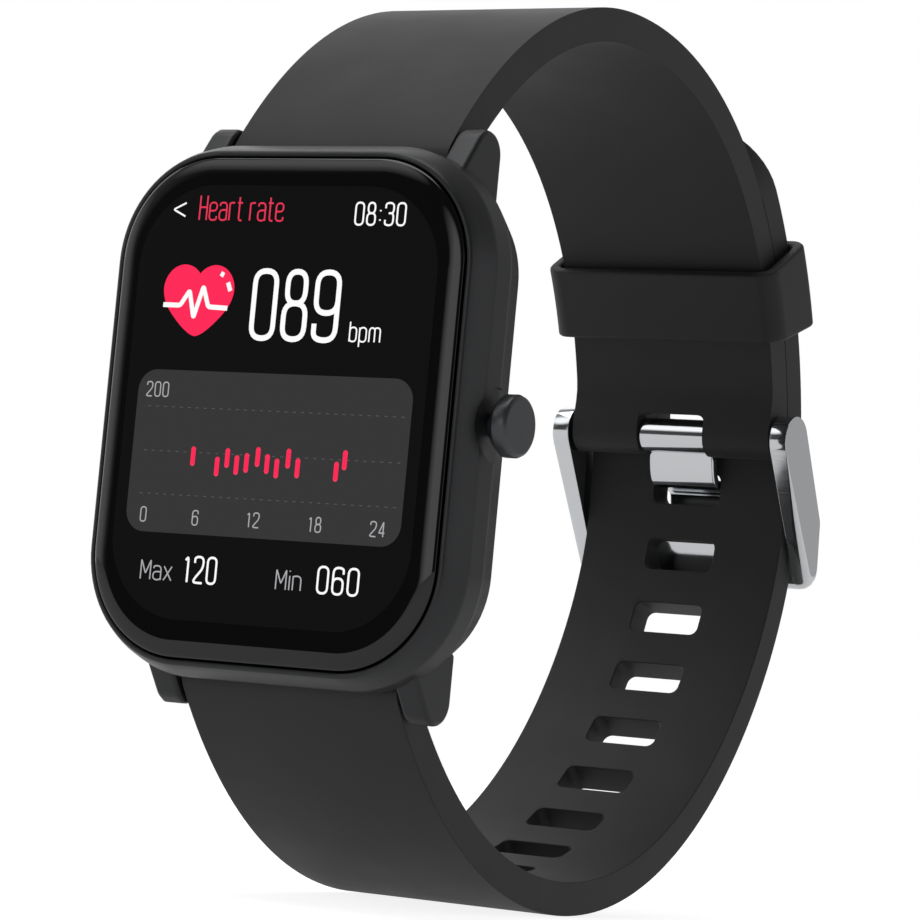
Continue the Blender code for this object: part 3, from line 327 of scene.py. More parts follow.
# ---------------------------------------------------------------- materials
def linear(code):
    """An sRGB hex colour as linear red, green, blue and alpha."""
    channels = [int(code[i:i + 2], 16) / 255.0 for i in (1, 3, 5)]
    return (*[c / 12.92 if c <= 0.04045 else ((c + 0.055) / 1.055) ** 2.4 for c in channels], 1.0)


def add_node(material, kind, settings=None, values=None, links=None):
    """Add a node with its settings, socket values and incoming links."""
    node = material.node_tree.nodes.new(kind)
    for key, value in (settings or {}).items():
        setattr(node, key, value)
    for key, value in (values or {}).items():
        node.inputs[key].default_value = value
    for key, output in (links or {}).items():
        material.node_tree.links.new(output, node.inputs[key])
    return node


def start_material(name, colour, roughness, **values):
    """A Principled material; extra values are set on the shader's own sockets."""
    material = bpy.data.materials.new(name)
    material.use_nodes = True
    shader = material.node_tree.nodes["Principled BSDF"]
    shader.inputs["Base Color"].default_value = colour if len(colour) == 4 else (*colour, 1.0)
    shader.inputs["Roughness"].default_value = roughness
    for key, value in values.items():
        shader.inputs[key.replace("_", " ")].default_value = value
    return material, shader


def object_place(material):
    return add_node(material, "ShaderNodeTexCoord").outputs["Object"]


def noise(material, place, size_mm, detail=2.0, roughness=0.5, stretch=(1.0, 1.0, 1.0)):
    """Noise with features of about that size in millimetres."""
    scaled = add_node(material, "ShaderNodeMapping", values={"Scale": stretch}, links={"Vector": place})
    return add_node(material, "ShaderNodeTexNoise",
                    values={"Scale": 1.0 / (size_mm * MM), "Detail": detail, "Roughness": roughness},
                    links={"Vector": scaled.outputs["Vector"]}).outputs["Fac"]


def remap(material, source, low, high, from_low=0.3, from_high=0.7):
    return add_node(material, "ShaderNodeMapRange",
                    values={"From Min": from_low, "From Max": from_high, "To Min": low, "To Max": high},
                    links={"Value": source}).outputs["Result"]


def tint(material, source, first, second):
    """A mix of two linear colours by a factor."""
    mixed = add_node(material, "ShaderNodeMix", settings={"data_type": "RGBA"}, links={"Factor": source})
    mixed.inputs[6].default_value = first
    mixed.inputs[7].default_value = second
    return mixed.outputs[2]


def link(material, output, socket):
    material.node_tree.links.new(output, socket)


def bump(material, shader, height, depth_mm, strength=1.0):
    node = add_node(material, "ShaderNodeBump", values={"Strength": strength, "Distance": depth_mm * MM},
                    links={"Height": height})
    link(material, node.outputs["Normal"], shader.inputs["Normal"])


def shade(colour, factor):
    return (*[c * factor for c in colour[:3]], 1.0)


def anodised_aluminium(name, colour, roughness=0.36):
    """Bead-blasted, anodised aluminium: an even satin with a very fine grain and soft highlights."""
    material, shader = start_material(name, colour, roughness, Metallic=0.55)
    place = object_place(material)
    grain = noise(material, place, 0.12, 3.0)  # real grit is 0.05 mm; drawn at 0.12 so that it shows
    cloud = noise(material, place, 9.0, 2.0)
    link(material,
         tint(material, remap(material, cloud, 0.0, 1.0), shade(colour, 0.94), shade(colour, 1.06)),
         shader.inputs["Base Color"])
    link(material, remap(material, grain, roughness - 0.03, roughness + 0.04),
         shader.inputs["Roughness"])
    bump(material, shader, grain, 0.004, 0.35)
    return material


def moulded_silicone(name, colour):
    """Liquid silicone rubber from a fine spark-eroded mould: dry, matte, with a faint bloom."""
    material, shader = start_material(name, colour, 0.56, IOR=1.41, Sheen_Weight=0.06,
                                      Sheen_Roughness=0.5)
    place = object_place(material)
    grain = noise(material, place, 0.16, 4.0, 0.6)  # mould texture about 0.1 mm, drawn a little coarser
    bloom = noise(material, place, 6.5, 3.0, 0.55)
    link(material,
         tint(material, remap(material, bloom, 0.0, 1.0), shade(colour, 0.93), shade(colour, 1.09)),
         shader.inputs["Base Color"])
    link(material, remap(material, bloom, 0.53, 0.60), shader.inputs["Roughness"])
    bump(material, shader, grain, 0.010, 0.4)
    return material


def toughened_glass(name, colour):
    """Polished cover glass printed black on its inner side: a deep black with a sharp gloss."""
    material, shader = start_material(name, colour, 0.03, IOR=1.52)
    haze = noise(material, object_place(material), 7.0, 3.0)
    link(material, remap(material, haze, 0.02, 0.05), shader.inputs["Roughness"])
    return material


def chromed_steel(name):
    """Polished, chrome-plated steel: mirror gloss with hairline polishing marks."""
    material, shader = start_material(name, linear("#DDDFE2"), 0.09, Metallic=1.0)
    place = object_place(material)
    # Polishing lines run across the band; real ones are some 0.02 mm apart, drawn at 0.22 to show.
    marks = noise(material, place, 0.22, 3.0, 0.5, (0.06, 1.0, 1.0))
    link(material, remap(material, marks, 0.07, 0.13), shader.inputs["Roughness"])
    bump(material, shader, marks, 0.0012, 0.25)
    return material


def turned_aluminium(name, colour, centre):
    """Anodised aluminium faced on a lathe: fine rings round the button's centre."""
    material, shader = start_material(name, colour, 0.34, Metallic=0.6)
    centred = add_node(material, "ShaderNodeMapping", values={"Location": tuple(-c for c in centre)},
                       links={"Vector": object_place(material)})
    spacing = 0.16 * MM  # real tool marks are some 0.03 mm apart, too fine to show
    rings = add_node(material, "ShaderNodeTexWave",
                     settings={"wave_type": "RINGS", "rings_direction": "X"},
                     values={"Scale": 0.5 / spacing / math.tau * 0.5, "Distortion": 0.4},
                     links={"Vector": centred.outputs["Vector"]}).outputs["Fac"]
    link(material, remap(material, rings, 0.31, 0.38, 0.0, 1.0), shader.inputs["Roughness"])
    bump(material, shader, rings, 0.002, 0.3)
    return material


def moulded_abs(name, colour, roughness=0.5):
    """Injection-moulded ABS with a fine spark-eroded texture."""
    material, shader = start_material(name, colour, roughness, IOR=1.53)
    grain = noise(material, object_place(material), 0.2, 3.0)
    link(material, tint(material, grain, shade(colour, 0.9), shade(colour, 1.15)),
         shader.inputs["Base Color"])
    link(material, remap(material, grain, roughness - 0.05, roughness + 0.06),
         shader.inputs["Roughness"])
    bump(material, shader, grain, 0.012, 0.4)
    return material


def matte_paper(name):
    """Seamless matte paper: even and near white, and it stays near white far from the lights."""
    material, shader = start_material(name, linear("#A8A8A8"), 0.95)
    shader.inputs["Emission Color"].default_value = (1.0, 1.0, 1.0, 1.0)
    seen = add_node(material, "ShaderNodeLightPath").outputs["Is Camera Ray"]
    link(material, remap(material, seen, 0.42, 0.85, 0.0, 1.0), shader.inputs["Emission Strength"])
    return material


def rolled_steel(name, code="#A9ACB0", roughness=0.28):
    """Rolled or drawn stainless steel with faint drawing lines along X."""
    material, shader = start_material(name, linear(code), roughness, Metallic=1.0)
    lines = noise(material, object_place(material), 0.15, 2.0, 0.5, (0.1, 1.0, 1.0))
    link(material, remap(material, lines, roughness - 0.06, roughness + 0.08),
         shader.inputs["Roughness"])
    return material


def solder_mask(name):
    """Glass-epoxy board under green solder mask: copper tracks show as lighter lines."""
    mask, darker, track = linear("#0E4A2A"), linear("#0B3D23"), linear("#2C7A4B")
    spacing = 2.2 * MM  # between bundles of tracks
    material, shader = start_material(name, mask, 0.42, IOR=1.55)
    turned = add_node(material, "ShaderNodeMapping", values={"Rotation": (QUARTER_TURN, 0.0, 0.0)},
                      links={"Vector": object_place(material)})
    tracks = add_node(material, "ShaderNodeTexBrick",
                      values={"Scale": 1.0 / spacing, "Mortar Size": 0.06, "Color1": mask,
                              "Color2": darker, "Mortar": track},
                      links={"Vector": turned.outputs["Vector"]})
    link(material, tracks.outputs["Color"], shader.inputs["Base Color"])
    bump(material, shader, tracks.outputs["Fac"], 0.02, 0.5)
    return material


def screen_ink(name, code, glow=1.0):
    """A lit area of the display seen through the cover glass: its own light under a sharp gloss."""
    material, shader = start_material(name, (0.0, 0.0, 0.0, 1.0), 0.04, IOR=1.52)
    colour = linear(code)
    grid = noise(material, object_place(material), 0.1, 1.0)  # the panel's dots, 0.1 mm apart
    light = tint(material, remap(material, grid, 0.0, 1.0), shade(colour, 0.97), shade(colour, 1.0))
    link(material, light, shader.inputs["Emission Color"])
    shader.inputs["Emission Strength"].default_value = glow
    return material


# ---------------------------------------------------------------- the line of the band
def curve_points(controls, count):
    """Points of a Bezier curve in Y and Z through its four controls."""
    return [p.to_2d() for p in interpolate_bezier(*[c.to_3d() for c in controls], count)]


class BandLine:
    """Where the two straps meet, in Y and Z: inside the long strap, then outside the short strap.

    It leaves the lower lug, turns at its bottom, rear and top, and arrives at the upper lug.
    """

    def __init__(self, thickness):
        lower, upper = self.direction(-55.5), self.direction(-124.0)
        start = Vector((LUG_BAR_Y, -LUG_BAR_Z)) + self.left(lower) * (thickness / 2)
        end = Vector((LUG_BAR_Y, LUG_BAR_Z)) - self.left(upper) * (thickness / 2 + STRAP_GAP)
        bottom = Vector((24.4, -34.5)) * MM
        rear = Vector((57.9, -1.7)) * MM
        top = Vector((23.0, 37.4)) * MM
        back, up = Vector((1.0, 0.0)), Vector((0.0, 1.0))
        # Each leg: where it starts and its way there, how far its two handles reach in mm, its end.
        legs = (
            (start, lower, (7.6, 13.5), bottom, back),
            (bottom, back, (21.2, 12.3), rear, up),
            (rear, up, (19.8, 22.6), top, -back),
            (top, -back, (15.4, 5.0), end, upper),
        )
        self.points = []
        for first, leaving, handles, last, arriving in legs:
            leave = first + leaving * handles[0] * MM
            arrive = last - arriving * handles[1] * MM
            self.points += curve_points((first, leave, arrive, last), 160)[:-1]
        self.points.append(end)
        self.measure()
        self.bar = self.distance_of_z(BUCKLE_BAR_Z)

    @staticmethod
    def direction(degrees):
        return Vector((math.cos(math.radians(degrees)), math.sin(math.radians(degrees))))

    @staticmethod
    def left(way):
        return Vector((-way.y, way.x))

    def measure(self):
        self.distances = [0.0]
        for near, far in zip(self.points, self.points[1:]):
            self.distances.append(self.distances[-1] + (far - near).length)
        self.length = self.distances[-1]

    def heading(self, distance):
        """The way at that distance, taken over a short stretch either side."""
        reach = 0.5 * MM
        low = min(max(distance - reach, 0.0), self.length - reach)
        high = reach if distance < reach else min(distance + reach, self.length)
        return (self.inside(high) - self.inside(low)).normalized()

    def inside(self, distance):
        """The place at that distance, which lies between the two ends."""
        low, high = 0, len(self.distances) - 1
        while high - low > 1:
            half = (low + high) // 2
            if self.distances[half] < distance:
                low = half
            else:
                high = half
        span = self.distances[high] - self.distances[low]
        return self.points[low].lerp(self.points[high], (distance - self.distances[low]) / span)

    def point(self, distance):
        """The place at that distance, carried on straight past either end."""
        inside = min(max(distance, 0.0), self.length)
        return self.inside(inside) + self.heading(inside) * (distance - inside)

    def offset(self, distance, amount):
        """The place at that distance, moved outwards from the wrist by the amount."""
        inside = min(max(distance, 0.0), self.length)
        return self.point(distance) - self.left(self.heading(inside)) * amount

    def distance_of_z(self, z):
        """How far along the line's rear side passes that height."""
        rear_side = 23.0 * MM
        for near, far, start in zip(self.points, self.points[1:], self.distances):
            if near.x > rear_side and near.y <= z < far.y:
                return start + (far - near).length * (z - near.y) / (far.y - near.y)
        raise RuntimeError("the band line doesn't pass that height")


def spaced(start, end, step, keep=()):
    """Places from start to end no further apart than the step, with every kept place among them."""
    stops = sorted({start, end, *[k for k in keep if start < k < end]})
    places = [stops[0]]
    for near, far in zip(stops, stops[1:]):
        count = max(1, math.ceil((far - near) / step - 1e-6))
        places += [near + (far - near) * k / count for k in range(1, count + 1)]
    return places


def add_flat_strap(name, columns, rows, thickness, holes, edge_round):
    """A strap laid flat: X across, Y along, Z through.

    Cells for which holes(x, y) is true are left out.
    """
    across, along = len(columns) - 1, len(rows) - 1
    deselect_everything()
    bpy.ops.mesh.primitive_grid_add(x_subdivisions=across, y_subdivisions=along, size=2.0)
    strap = name_new_piece(name)
    for vert in strap.data.vertices:
        column = round((vert.co.x + 1.0) / 2.0 * across)
        row = round((vert.co.y + 1.0) / 2.0 * along)
        vert.co = (columns[column], rows[row], 0.0)
    open_edit(strap, "FACE")
    if choose(strap, "FACE", lambda face: holes(*face.calc_center_median()[:2])):
        bpy.ops.mesh.delete(type="FACE")
    close_edit()
    modify(strap, "SOLIDIFY", thickness=thickness, offset=0.0, use_even_offset=True)
    open_edit(strap, "EDGE")
    if choose(strap, "EDGE", lambda edge: runs_along(edge, 2) and is_slot_corner(edge, columns)):
        bpy.ops.mesh.bevel(offset=0.7 * MM, segments=4, affect="EDGES")
    close_edit()
    soften(strap, edge_round, 3, 40.0)
    return strap


def is_slot_corner(edge, columns):
    """Whether an upright edge is where two walls of a slot meet, away from the strap's own sides."""
    if len(edge.link_faces) != 2 or abs(edge.verts[0].co.x) > 0.9 * columns[-1]:
        return False
    return abs(edge.link_faces[0].normal.dot(edge.link_faces[1].normal)) < 0.5


def end_share(past):
    """Share of a strap's thickness left that far past its lug's bar, as its end rounds off."""
    return math.sqrt(1.0 - min(past / END_ROUND, 0.985) ** 2) if past > 0.0 else 1.0


def wrap(piece, line, place):
    """Bend a flat piece onto the line: place(x, along, through) gives x, distance and offset."""
    for vert in piece.data.vertices:
        x, distance, offset = place(*vert.co)
        point = line.offset(distance, offset)
        vert.co = (x, point.x, point.y)
    open_edit(piece, "FACE")
    bpy.ops.mesh.select_all(action="SELECT")
    bpy.ops.mesh.normals_make_consistent(inside=False)
    close_edit()
    smooth(piece, 38.0)


# ---------------------------------------------------------------- operators
class WATCH_OT_case(bpy.types.Operator):
    """Build the case ring with its four lugs."""
    bl_idname = "watch.build_case"
    bl_label = "Build the case"
    INNER_X, OUTER_X = 10.3 * MM, 12.6 * MM  # the lugs' two sides

    def execute(self, context):
        sizes = context.scene.watch_case
        half_x, half_z, corner = sizes.width / 2, sizes.height / 2, sizes.corner
        front = CASE_LOW[1]
        case = add_rounded_block("case_body", half_x, half_z, corner, front + 2.4 * MM, front + 4.6 * MM)
        # In mm: two slopes and the lip, then down to the glass's seat and in to the opening.
        front_steps = ((0.50, 1.6), (0.38, 0.8), (0.4, 0.0), (0.0, -0.9), (1.52, 0.0), (0.0, -1.5),
                       (0.4, 0.0))
        step_from_end(case, 1, -1, front_steps)
        bpy.ops.mesh.delete(type="FACE")
        close_edit()
        back_steps = ((1.9, 4.4), (0.7, 0.0), (0.0, -1.1), (0.6, 0.0))
        step_from_end(case, 1, 1, back_steps)
        bpy.ops.mesh.delete(type="FACE")
        bridge_open_ends()
        close_edit()
        soften(case, sizes.edge_round, 3, 14.0)
        for side in (-1, 1):
            for end in (-1, 1):
                merge(case, self.lug(sizes, side, end), "UNION")
        for end in (-1, 1):
            notch = add_disc("notch", "X", 1.95 * MM, -self.INNER_X, self.INNER_X,
                             (LUG_BAR_Y, end * LUG_BAR_Z), 48)
            merge(case, notch, "DIFFERENCE")
        button = (-5.5 * MM, 0.0)
        for name, radius, depth, vertices in (("scallop", 2.85 * MM, 0.3 * MM, 96),
                                              ("bore", 0.97 * MM, 4.5 * MM, 48)):
            way = add_disc(name, "X", radius, half_x - depth, half_x + MM, button, vertices)
            merge(case, way, "DIFFERENCE")
        smooth(case, 28.0)
        dress(case, "anodised_aluminium_black", "watch", "case_black", "case_shell")
        return {"FINISHED"}

    def lug(self, sizes, side, end):
        """A rounded nose by the band, and an inclined front that meets its outer side in a crease."""
        front_y, back_y = -6.5 * MM, -1.0 * MM
        root_z = sizes.height / 2 - 3.7 * MM
        outline = circle_points((LUG_BAR_Y + 0.12 * MM, LUG_BAR_Z + 1.85 * MM), 0.45 * MM)
        outline += circle_points((LUG_BAR_Y + 0.5 * MM, LUG_BAR_Z + 0.4 * MM), 1.9 * MM, 40)
        outline += [(front_y, 19.3 * MM), (front_y, root_z), (back_y, root_z),
                    (back_y, LUG_BAR_Z - 1.2 * MM)]
        points = [(side * x, y, end * z) for x in (self.INNER_X, self.OUTER_X) for y, z in outline]
        lug = add_hull("lug", points)
        soften(lug, 0.4 * MM, 4, 20.0)
        inset = 2.4 * MM  # the case's wall
        inside = add_rounded_block("inside", sizes.width / 2 - inset, sizes.height / 2 - inset,
                                   sizes.corner - inset, -11.0 * MM, 1.0 * MM)
        merge(lug, inside, "DIFFERENCE")
        return lug


class WATCH_OT_glass(bpy.types.Operator):
    """Build the cover glass with its rounded edge."""
    bl_idname = "watch.build_glass"
    bl_label = "Build the cover glass"

    def execute(self, context):
        sizes = context.scene.watch_case
        half_x, half_z = GLASS_HIGH[0], GLASS_HIGH[2]
        corner = sizes.corner - (sizes.width / 2 - half_x)
        lip, face = CASE_LOW[1], GLASS_LOW[1]
        glass = add_rounded_block("cover_glass", half_x, half_z, corner, lip, GLASS_HIGH[1], 24)
        # The edge rounds over in seven steps: shares of its width, and tenths of its height.
        rise = (lip - face) / 10.0 / MM
        wide = sizes.glass_bevel / MM
        shares = ((0.03, 2.2), (0.05, 1.8), (0.10, 1.7), (0.20, 1.7), (0.22, 1.2), (0.20, 0.8),
                  (0.20, 0.6))
        rounds = [(share * wide, height * rise) for share, height in shares]
        step_from_end(glass, 1, -1, [*rounds, (0.1, 0.0)])
        close_edit()
        smooth(glass, 30.0)
        dress(glass, "toughened_glass_black", "watch", "glass_black", "front_glass")
        return {"FINISHED"}


class WATCH_OT_button(bpy.types.Operator):
    """Build the push button with its stem."""
    bl_idname = "watch.build_button"
    bl_label = "Build the button"

    def execute(self, context):
        centre = centre_of(CAP_LOW, CAP_HIGH)[1:]
        radius = (CAP_HIGH[2] - CAP_LOW[2]) / 2
        face = CAP_HIGH[0]
        cap = add_disc("push_button", "X", radius, face - 1.2 * MM, face - 0.42 * MM, centre)
        rim = ((0.12, 0.26), (0.14, 0.12), (0.14, 0.04))
        step_from_end(cap, 0, 1, rim)
        close_edit()
        stem = ((0.25, 0.3), (1.25, 0.0), (0.0, 1.6), (0.4, 0.0), (0.0, 3.1))
        step_from_end(cap, 0, -1, stem)
        close_edit()
        smooth(cap, 35.0)
        dress(cap, "turned_aluminium_grey", "button", "button_grey", "button_cap")
        return {"FINISHED"}


class WATCH_OT_back(bpy.types.Operator):
    """Build the rear cover and the sensor window."""
    bl_idname = "watch.build_back"
    bl_label = "Build the back"

    def execute(self, context):
        sizes = context.scene.watch_case
        half_x, half_z = COVER_HIGH[0], COVER_HIGH[2]
        corner = sizes.corner - (sizes.width / 2 - half_x)
        rim_y = CASE_HIGH[1]
        cover = add_rounded_block("back_cover", half_x, half_z, corner, COVER_LOW[1], rim_y)
        soften(cover, 0.12 * MM, 2)
        bump_disc = add_disc("bump", "Y", 10.8 * MM, rim_y - 0.2 * MM, rim_y, (0.0, 0.0), 128)
        rise = (COVER_HIGH[1] - rim_y) / MM
        step_from_end(bump_disc, 1, 1, ((0.35, rise * 0.62), (0.35, rise * 0.3), (0.4, rise * 0.08)))
        close_edit()
        merge(cover, bump_disc, "UNION")
        window_radius, seat = WINDOW_HIGH[0], WINDOW_HIGH[1] - 1.05 * MM
        for radius, floor in ((window_radius + 0.1 * MM, seat), (5.9 * MM, -9.0 * MM)):
            merge(cover, add_disc("opening", "Y", radius, floor, MM, (0.0, 0.0), 128), "DIFFERENCE")
        screw_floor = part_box("case_screw_1")[1][1] - 0.6 * MM
        contact_floor = rim_y - 0.45 * MM
        ways = [(f"case_screw_{index}", 1.05 * MM, screw_floor) for index in range(1, 5)]
        ways += [(f"charge_contact_{word}", 1.25 * MM, contact_floor) for word in ("left", "right")]
        for node, radius, floor in ways:
            x, _, z = centre_of(*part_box(node))
            merge(cover, add_disc("way", "Y", radius, floor, MM, (x, z), 48), "DIFFERENCE")
        smooth(cover, 30.0)
        dress(cover, "moulded_abs_black", "watch", "cover_black", "rear_cover")
        face = WINDOW_HIGH[1]
        window = add_disc("sensor_lens", "Y", window_radius, face - MM, face - 0.3 * MM, (0.0, 0.0), 128)
        step_from_end(window, 1, 1, ((0.08, 0.18), (0.12, 0.09), (0.15, 0.03)))
        close_edit()
        step_from_end(window, 1, -1, ((1.2, 0.0), (0.0, 0.5)))
        close_edit()
        smooth(window, 30.0)
        dress(window, "toughened_glass_dark", "watch", "sensor_glass", "sensor_window")
        spots = (("lens_lamp_left", -2.8, 0.75, "lamp_window_green"),
                 ("lens_lamp_right", 2.8, 0.75, "lamp_window_green"),
                 ("lens_receiver", 0.0, 1.2, "receiver_window_red"))
        for name, x, half, finish in spots:
            spot = add_rounded_block(name, half * MM, 0.95 * MM, 0.3 * MM, 0.0, 0.015 * MM, 6,
                                     (x * MM, 0.0))
            smooth(spot, 30.0)
            dress(spot, finish, "watch", "sensor_glass")
        return {"FINISHED"}


class WATCH_OT_band(bpy.types.Operator):
    """Build the long and the short strap."""
    bl_idname = "watch.build_band"
    bl_label = "Build the straps"

    def execute(self, context):
        sizes = context.scene.watch_band
        line = BandLine(sizes.thickness)
        self.long_strap(sizes, line)
        self.short_strap(sizes, line)
        return {"FINISHED"}

    def long_strap(self, sizes, line):
        half, thick = sizes.width / 2, sizes.thickness
        above_tongue = 3  # slots between the tongue's and the tip
        first = line.bar + TONGUE_SLOT - SLOT_STEP * (sizes.slots - 1 - above_tongue)
        slots = [first + SLOT_STEP * k for k in range(sizes.slots)]
        end, tip = line.bar + STRAP_END, 7.0 * MM
        tip_share = 0.998  # the rounded tip stops a hair short, so that it doesn't end in a point
        reach = sizes.slot_height / 2
        keep = [s + side * reach for s in slots for side in (-1, 1)]
        keep += [0.0] + [-LUG_END * k for k in (0.4, 0.7, 0.9)]
        keep += [end - tip * (1.0 - math.sin(math.radians(a))) for a in (0, 15, 30, 45, 58, 70, 80)]
        rows = spaced(-LUG_END, end - (1.0 - tip_share) * tip, MM, keep)
        slot_half = sizes.slot_length / 2
        quarter = (half + slot_half) / 2
        columns = [-half, -quarter, -slot_half, 0.0, slot_half, quarter, half]

        def holes(x, y):
            return abs(x) < slot_half and any(abs(y - s) < reach for s in slots)

        strap = add_flat_strap("long_strap_silicone", columns, rows, thick, holes, sizes.edge_round)

        def place(x, y, z):
            past = min(max(y - (end - tip), 0.0), tip_share * tip)
            wide = half - tip + math.sqrt(tip * tip - past * past)
            return x * wide / half, y, thick / 2 + z * end_share(-y)

        wrap(strap, line, place)
        dress(strap, "moulded_silicone_black", "watch", "band_silicone", "long_strap")

    def short_strap(self, sizes, line):
        half, thick = sizes.width / 2, sizes.thickness
        start, end = line.bar - 1.86 * MM, line.length + LUG_END
        notch_half, notch_end = 3.35 * MM, line.bar + 2.2 * MM
        swell = 5.0 * MM  # the strap thickens into its tube over this length
        round_tube = (-0.94, -0.85, -0.7, -0.5, -0.25, 0.0, 0.25, 0.5, 0.7, 0.88)
        keep = [notch_end] + [line.bar + TUBE_RADIUS * share for share in round_tube]
        keep += [line.length + LUG_END * k for k in (0.0, 0.4, 0.7, 0.9)]
        quarter = 6.5 * MM
        columns = [-half, -quarter, -notch_half, 0.0, notch_half, quarter, half]
        rows = spaced(start, end, MM, keep)

        def holes(x, y):
            return abs(x) < notch_half and y < notch_end

        strap = add_flat_strap("short_strap_silicone", columns, rows, thick, holes, sizes.edge_round)

        def place(x, y, z):
            outer, inner = -STRAP_GAP, -STRAP_GAP - thick
            beyond = y - line.bar
            if beyond < 0.0:
                chord = math.sqrt(TUBE_RADIUS * TUBE_RADIUS - beyond * beyond)
                axis = -STRAP_GAP - TUBE_RADIUS
                outer, inner = axis + chord, axis - chord
            elif beyond < swell:
                inner -= (2 * TUBE_RADIUS - thick) * (0.5 + 0.5 * math.cos(math.pi * beyond / swell))
            share = end_share(y - line.length)
            return x, y, (outer + inner) / 2 + z / thick * (outer - inner) * share

        wrap(strap, line, place)
        dress(strap, "moulded_silicone_black", "watch", "band_silicone", "short_strap")


class WATCH_OT_keeper(bpy.types.Operator):
    """Build the keeper loop."""
    bl_idname = "watch.build_keeper"
    bl_label = "Build the keeper"

    def execute(self, context):
        sizes = context.scene.watch_band
        line = BandLine(sizes.thickness)
        length, wall_mm = 7.1 * MM, 1.0
        half_through = sizes.thickness + 1.3 * MM
        keeper = add_rounded_block("keeper_silicone", KEEPER_HALF, half_through, 1.7 * MM,
                                   -length / 2, length / 2, 8)
        for side in (-1, 1):
            step_from_end(keeper, 1, side, [(wall_mm, 0.0)])
            bpy.ops.mesh.delete(type="FACE")
            close_edit()
        open_edit(keeper, "EDGE")
        bridge_open_ends()
        close_edit()
        soften(keeper, 0.3 * MM, 3, 40.0)
        open_edit(keeper, "FACE")
        cuts = 8
        for k in range(1, cuts):
            bpy.ops.mesh.select_all(action="SELECT")
            bpy.ops.mesh.bisect(plane_co=(0.0, length * (k / cuts - 0.5), 0.0),
                                plane_no=(0.0, 1.0, 0.0))
        close_edit()
        middle = line.bar + KEEPER_MIDDLE
        wrap(keeper, line, lambda x, y, z: (x, middle + y, z - STRAP_GAP / 2))
        dress(keeper, "moulded_silicone_black", "keeper", "band_silicone", "keeper_loop")
        return {"FINISHED"}


class WATCH_OT_buckle(bpy.types.Operator):
    """Build the buckle's frame and its tongue."""
    bl_idname = "watch.build_buckle"
    bl_label = "Build the buckle"

    def execute(self, context):
        sizes = context.scene.watch_band
        line = BandLine(sizes.thickness)
        hinge = line.offset(line.bar, -STRAP_GAP - TUBE_RADIUS)
        far = line.offset(line.bar + FAR_BAR, sizes.thickness + 1.02 * MM)
        self.build_frame(hinge, far)
        self.build_tongue(line, hinge, far)
        return {"FINISHED"}

    def build_frame(self, hinge, far):
        """Two arms with an elbow each, and a plate across their far ends."""
        way = (far - hinge).normalized()
        out = Vector((-way.y, way.x))
        elbow = hinge.lerp(far, 0.63) + out * 1.25 * MM
        inner, outer = FRAME_HALF - 1.6 * MM, FRAME_HALF
        corner = 1.3 * MM
        edge = far - way * 3.1 * MM - out * 0.1 * MM
        plate = circle_points(far, FAR_BAR_RADIUS) + circle_points(edge, 0.34 * MM, 16)
        reach = inner + 0.3 * MM
        bar = add_hull("buckle_frame_chrome", [(side * reach, y, z) for side in (-1, 1) for y, z in plate])
        eye = circle_points(hinge, 2.2 * MM, 48) + circle_points(elbow, 1.4 * MM, 48)
        for side in (-1, 1):
            points = [(side * x, y, z) for x in (inner, outer) for y, z in eye]
            points += [(side * inner, y, z) for y, z in circle_points(far, FAR_BAR_RADIUS)]
            for turn in (0.0, 0.4, 0.8, 1.2, math.pi / 2):
                end = far - (far - elbow).normalized() * corner * (1.0 - math.sin(turn))
                x = outer - corner * (1.0 - math.cos(turn))
                points += [(side * x, y, z) for y, z in circle_points(end, FAR_BAR_RADIUS)]
            arm = add_hull("arm", points)
            soften(arm, 0.3 * MM, 4, 50.0)
            merge(bar, arm, "UNION")
        smooth(bar, 30.0)
        dress(bar, "chromed_steel", "frame", "buckle_chrome", "buckle_frame")

    def build_tongue(self, line, hinge, far):
        """A strip along its own path: from the roll, out through the slot and over the far bar."""
        slot = line.bar + TONGUE_SLOT
        thick = 0.9 * MM
        along = line.heading(slot)
        out = -line.left(along)
        entry = line.offset(slot, -0.1 * MM) + along * 0.45 * MM
        leave = line.offset(slot, 3.5 * MM) - along * 0.55 * MM
        over = far + Vector((1.0, 0.12)).normalized() * 1.4 * MM
        tip = over + (over - leave).normalized() * 1.6 * MM
        root = hinge + line.direction(-20.0) * MM
        inside = entry + out * 0.3 * MM
        path = curve_points((root, root + Vector((0.4, -1.4)) * MM, entry - out * MM, inside), 24)
        path += curve_points((inside, entry + out * 1.9 * MM, leave + along * 0.9 * MM,
                              leave - along * 0.4 * MM), 24)
        course = Course(path + [over, tip])
        wide, narrow = 3.3 * MM, 3.0 * MM
        rounding = 1.2 * MM  # the tip narrows over this length
        rows = spaced(0.0, course.length, 0.35 * MM)
        strip = add_flat_strap("tongue_chrome", [-wide, 0.0, wide], rows, thick, lambda x, y: False,
                               0.2 * MM)

        def place(x, y, z):
            taper = min(max((y - 0.5 * MM) / MM, 0.0), 1.0)
            end = min(max((y - course.length + rounding) / rounding, 0.0), 1.0)
            width = (narrow + (wide - narrow) * taper) * (1.0 - 0.3 * end * end)
            return x * width / wide, y, z

        wrap(strip, course, place)
        roll_half = wide - 0.1 * MM
        merge(strip, add_disc("roll", "X", 1.55 * MM, -roll_half, roll_half, hinge, 64), "UNION")
        smooth(strip, 30.0)
        dress(strip, "chromed_steel", "tongue", "buckle_chrome", "buckle_tongue")


class Course(BandLine):
    """Any smooth course in Y and Z, measured like the band's line."""

    def __init__(self, points):
        self.points = [points[0]]
        for point in points[1:]:
            if (point - self.points[-1]).length > 1e-6:
                self.points.append(point)
        self.measure()


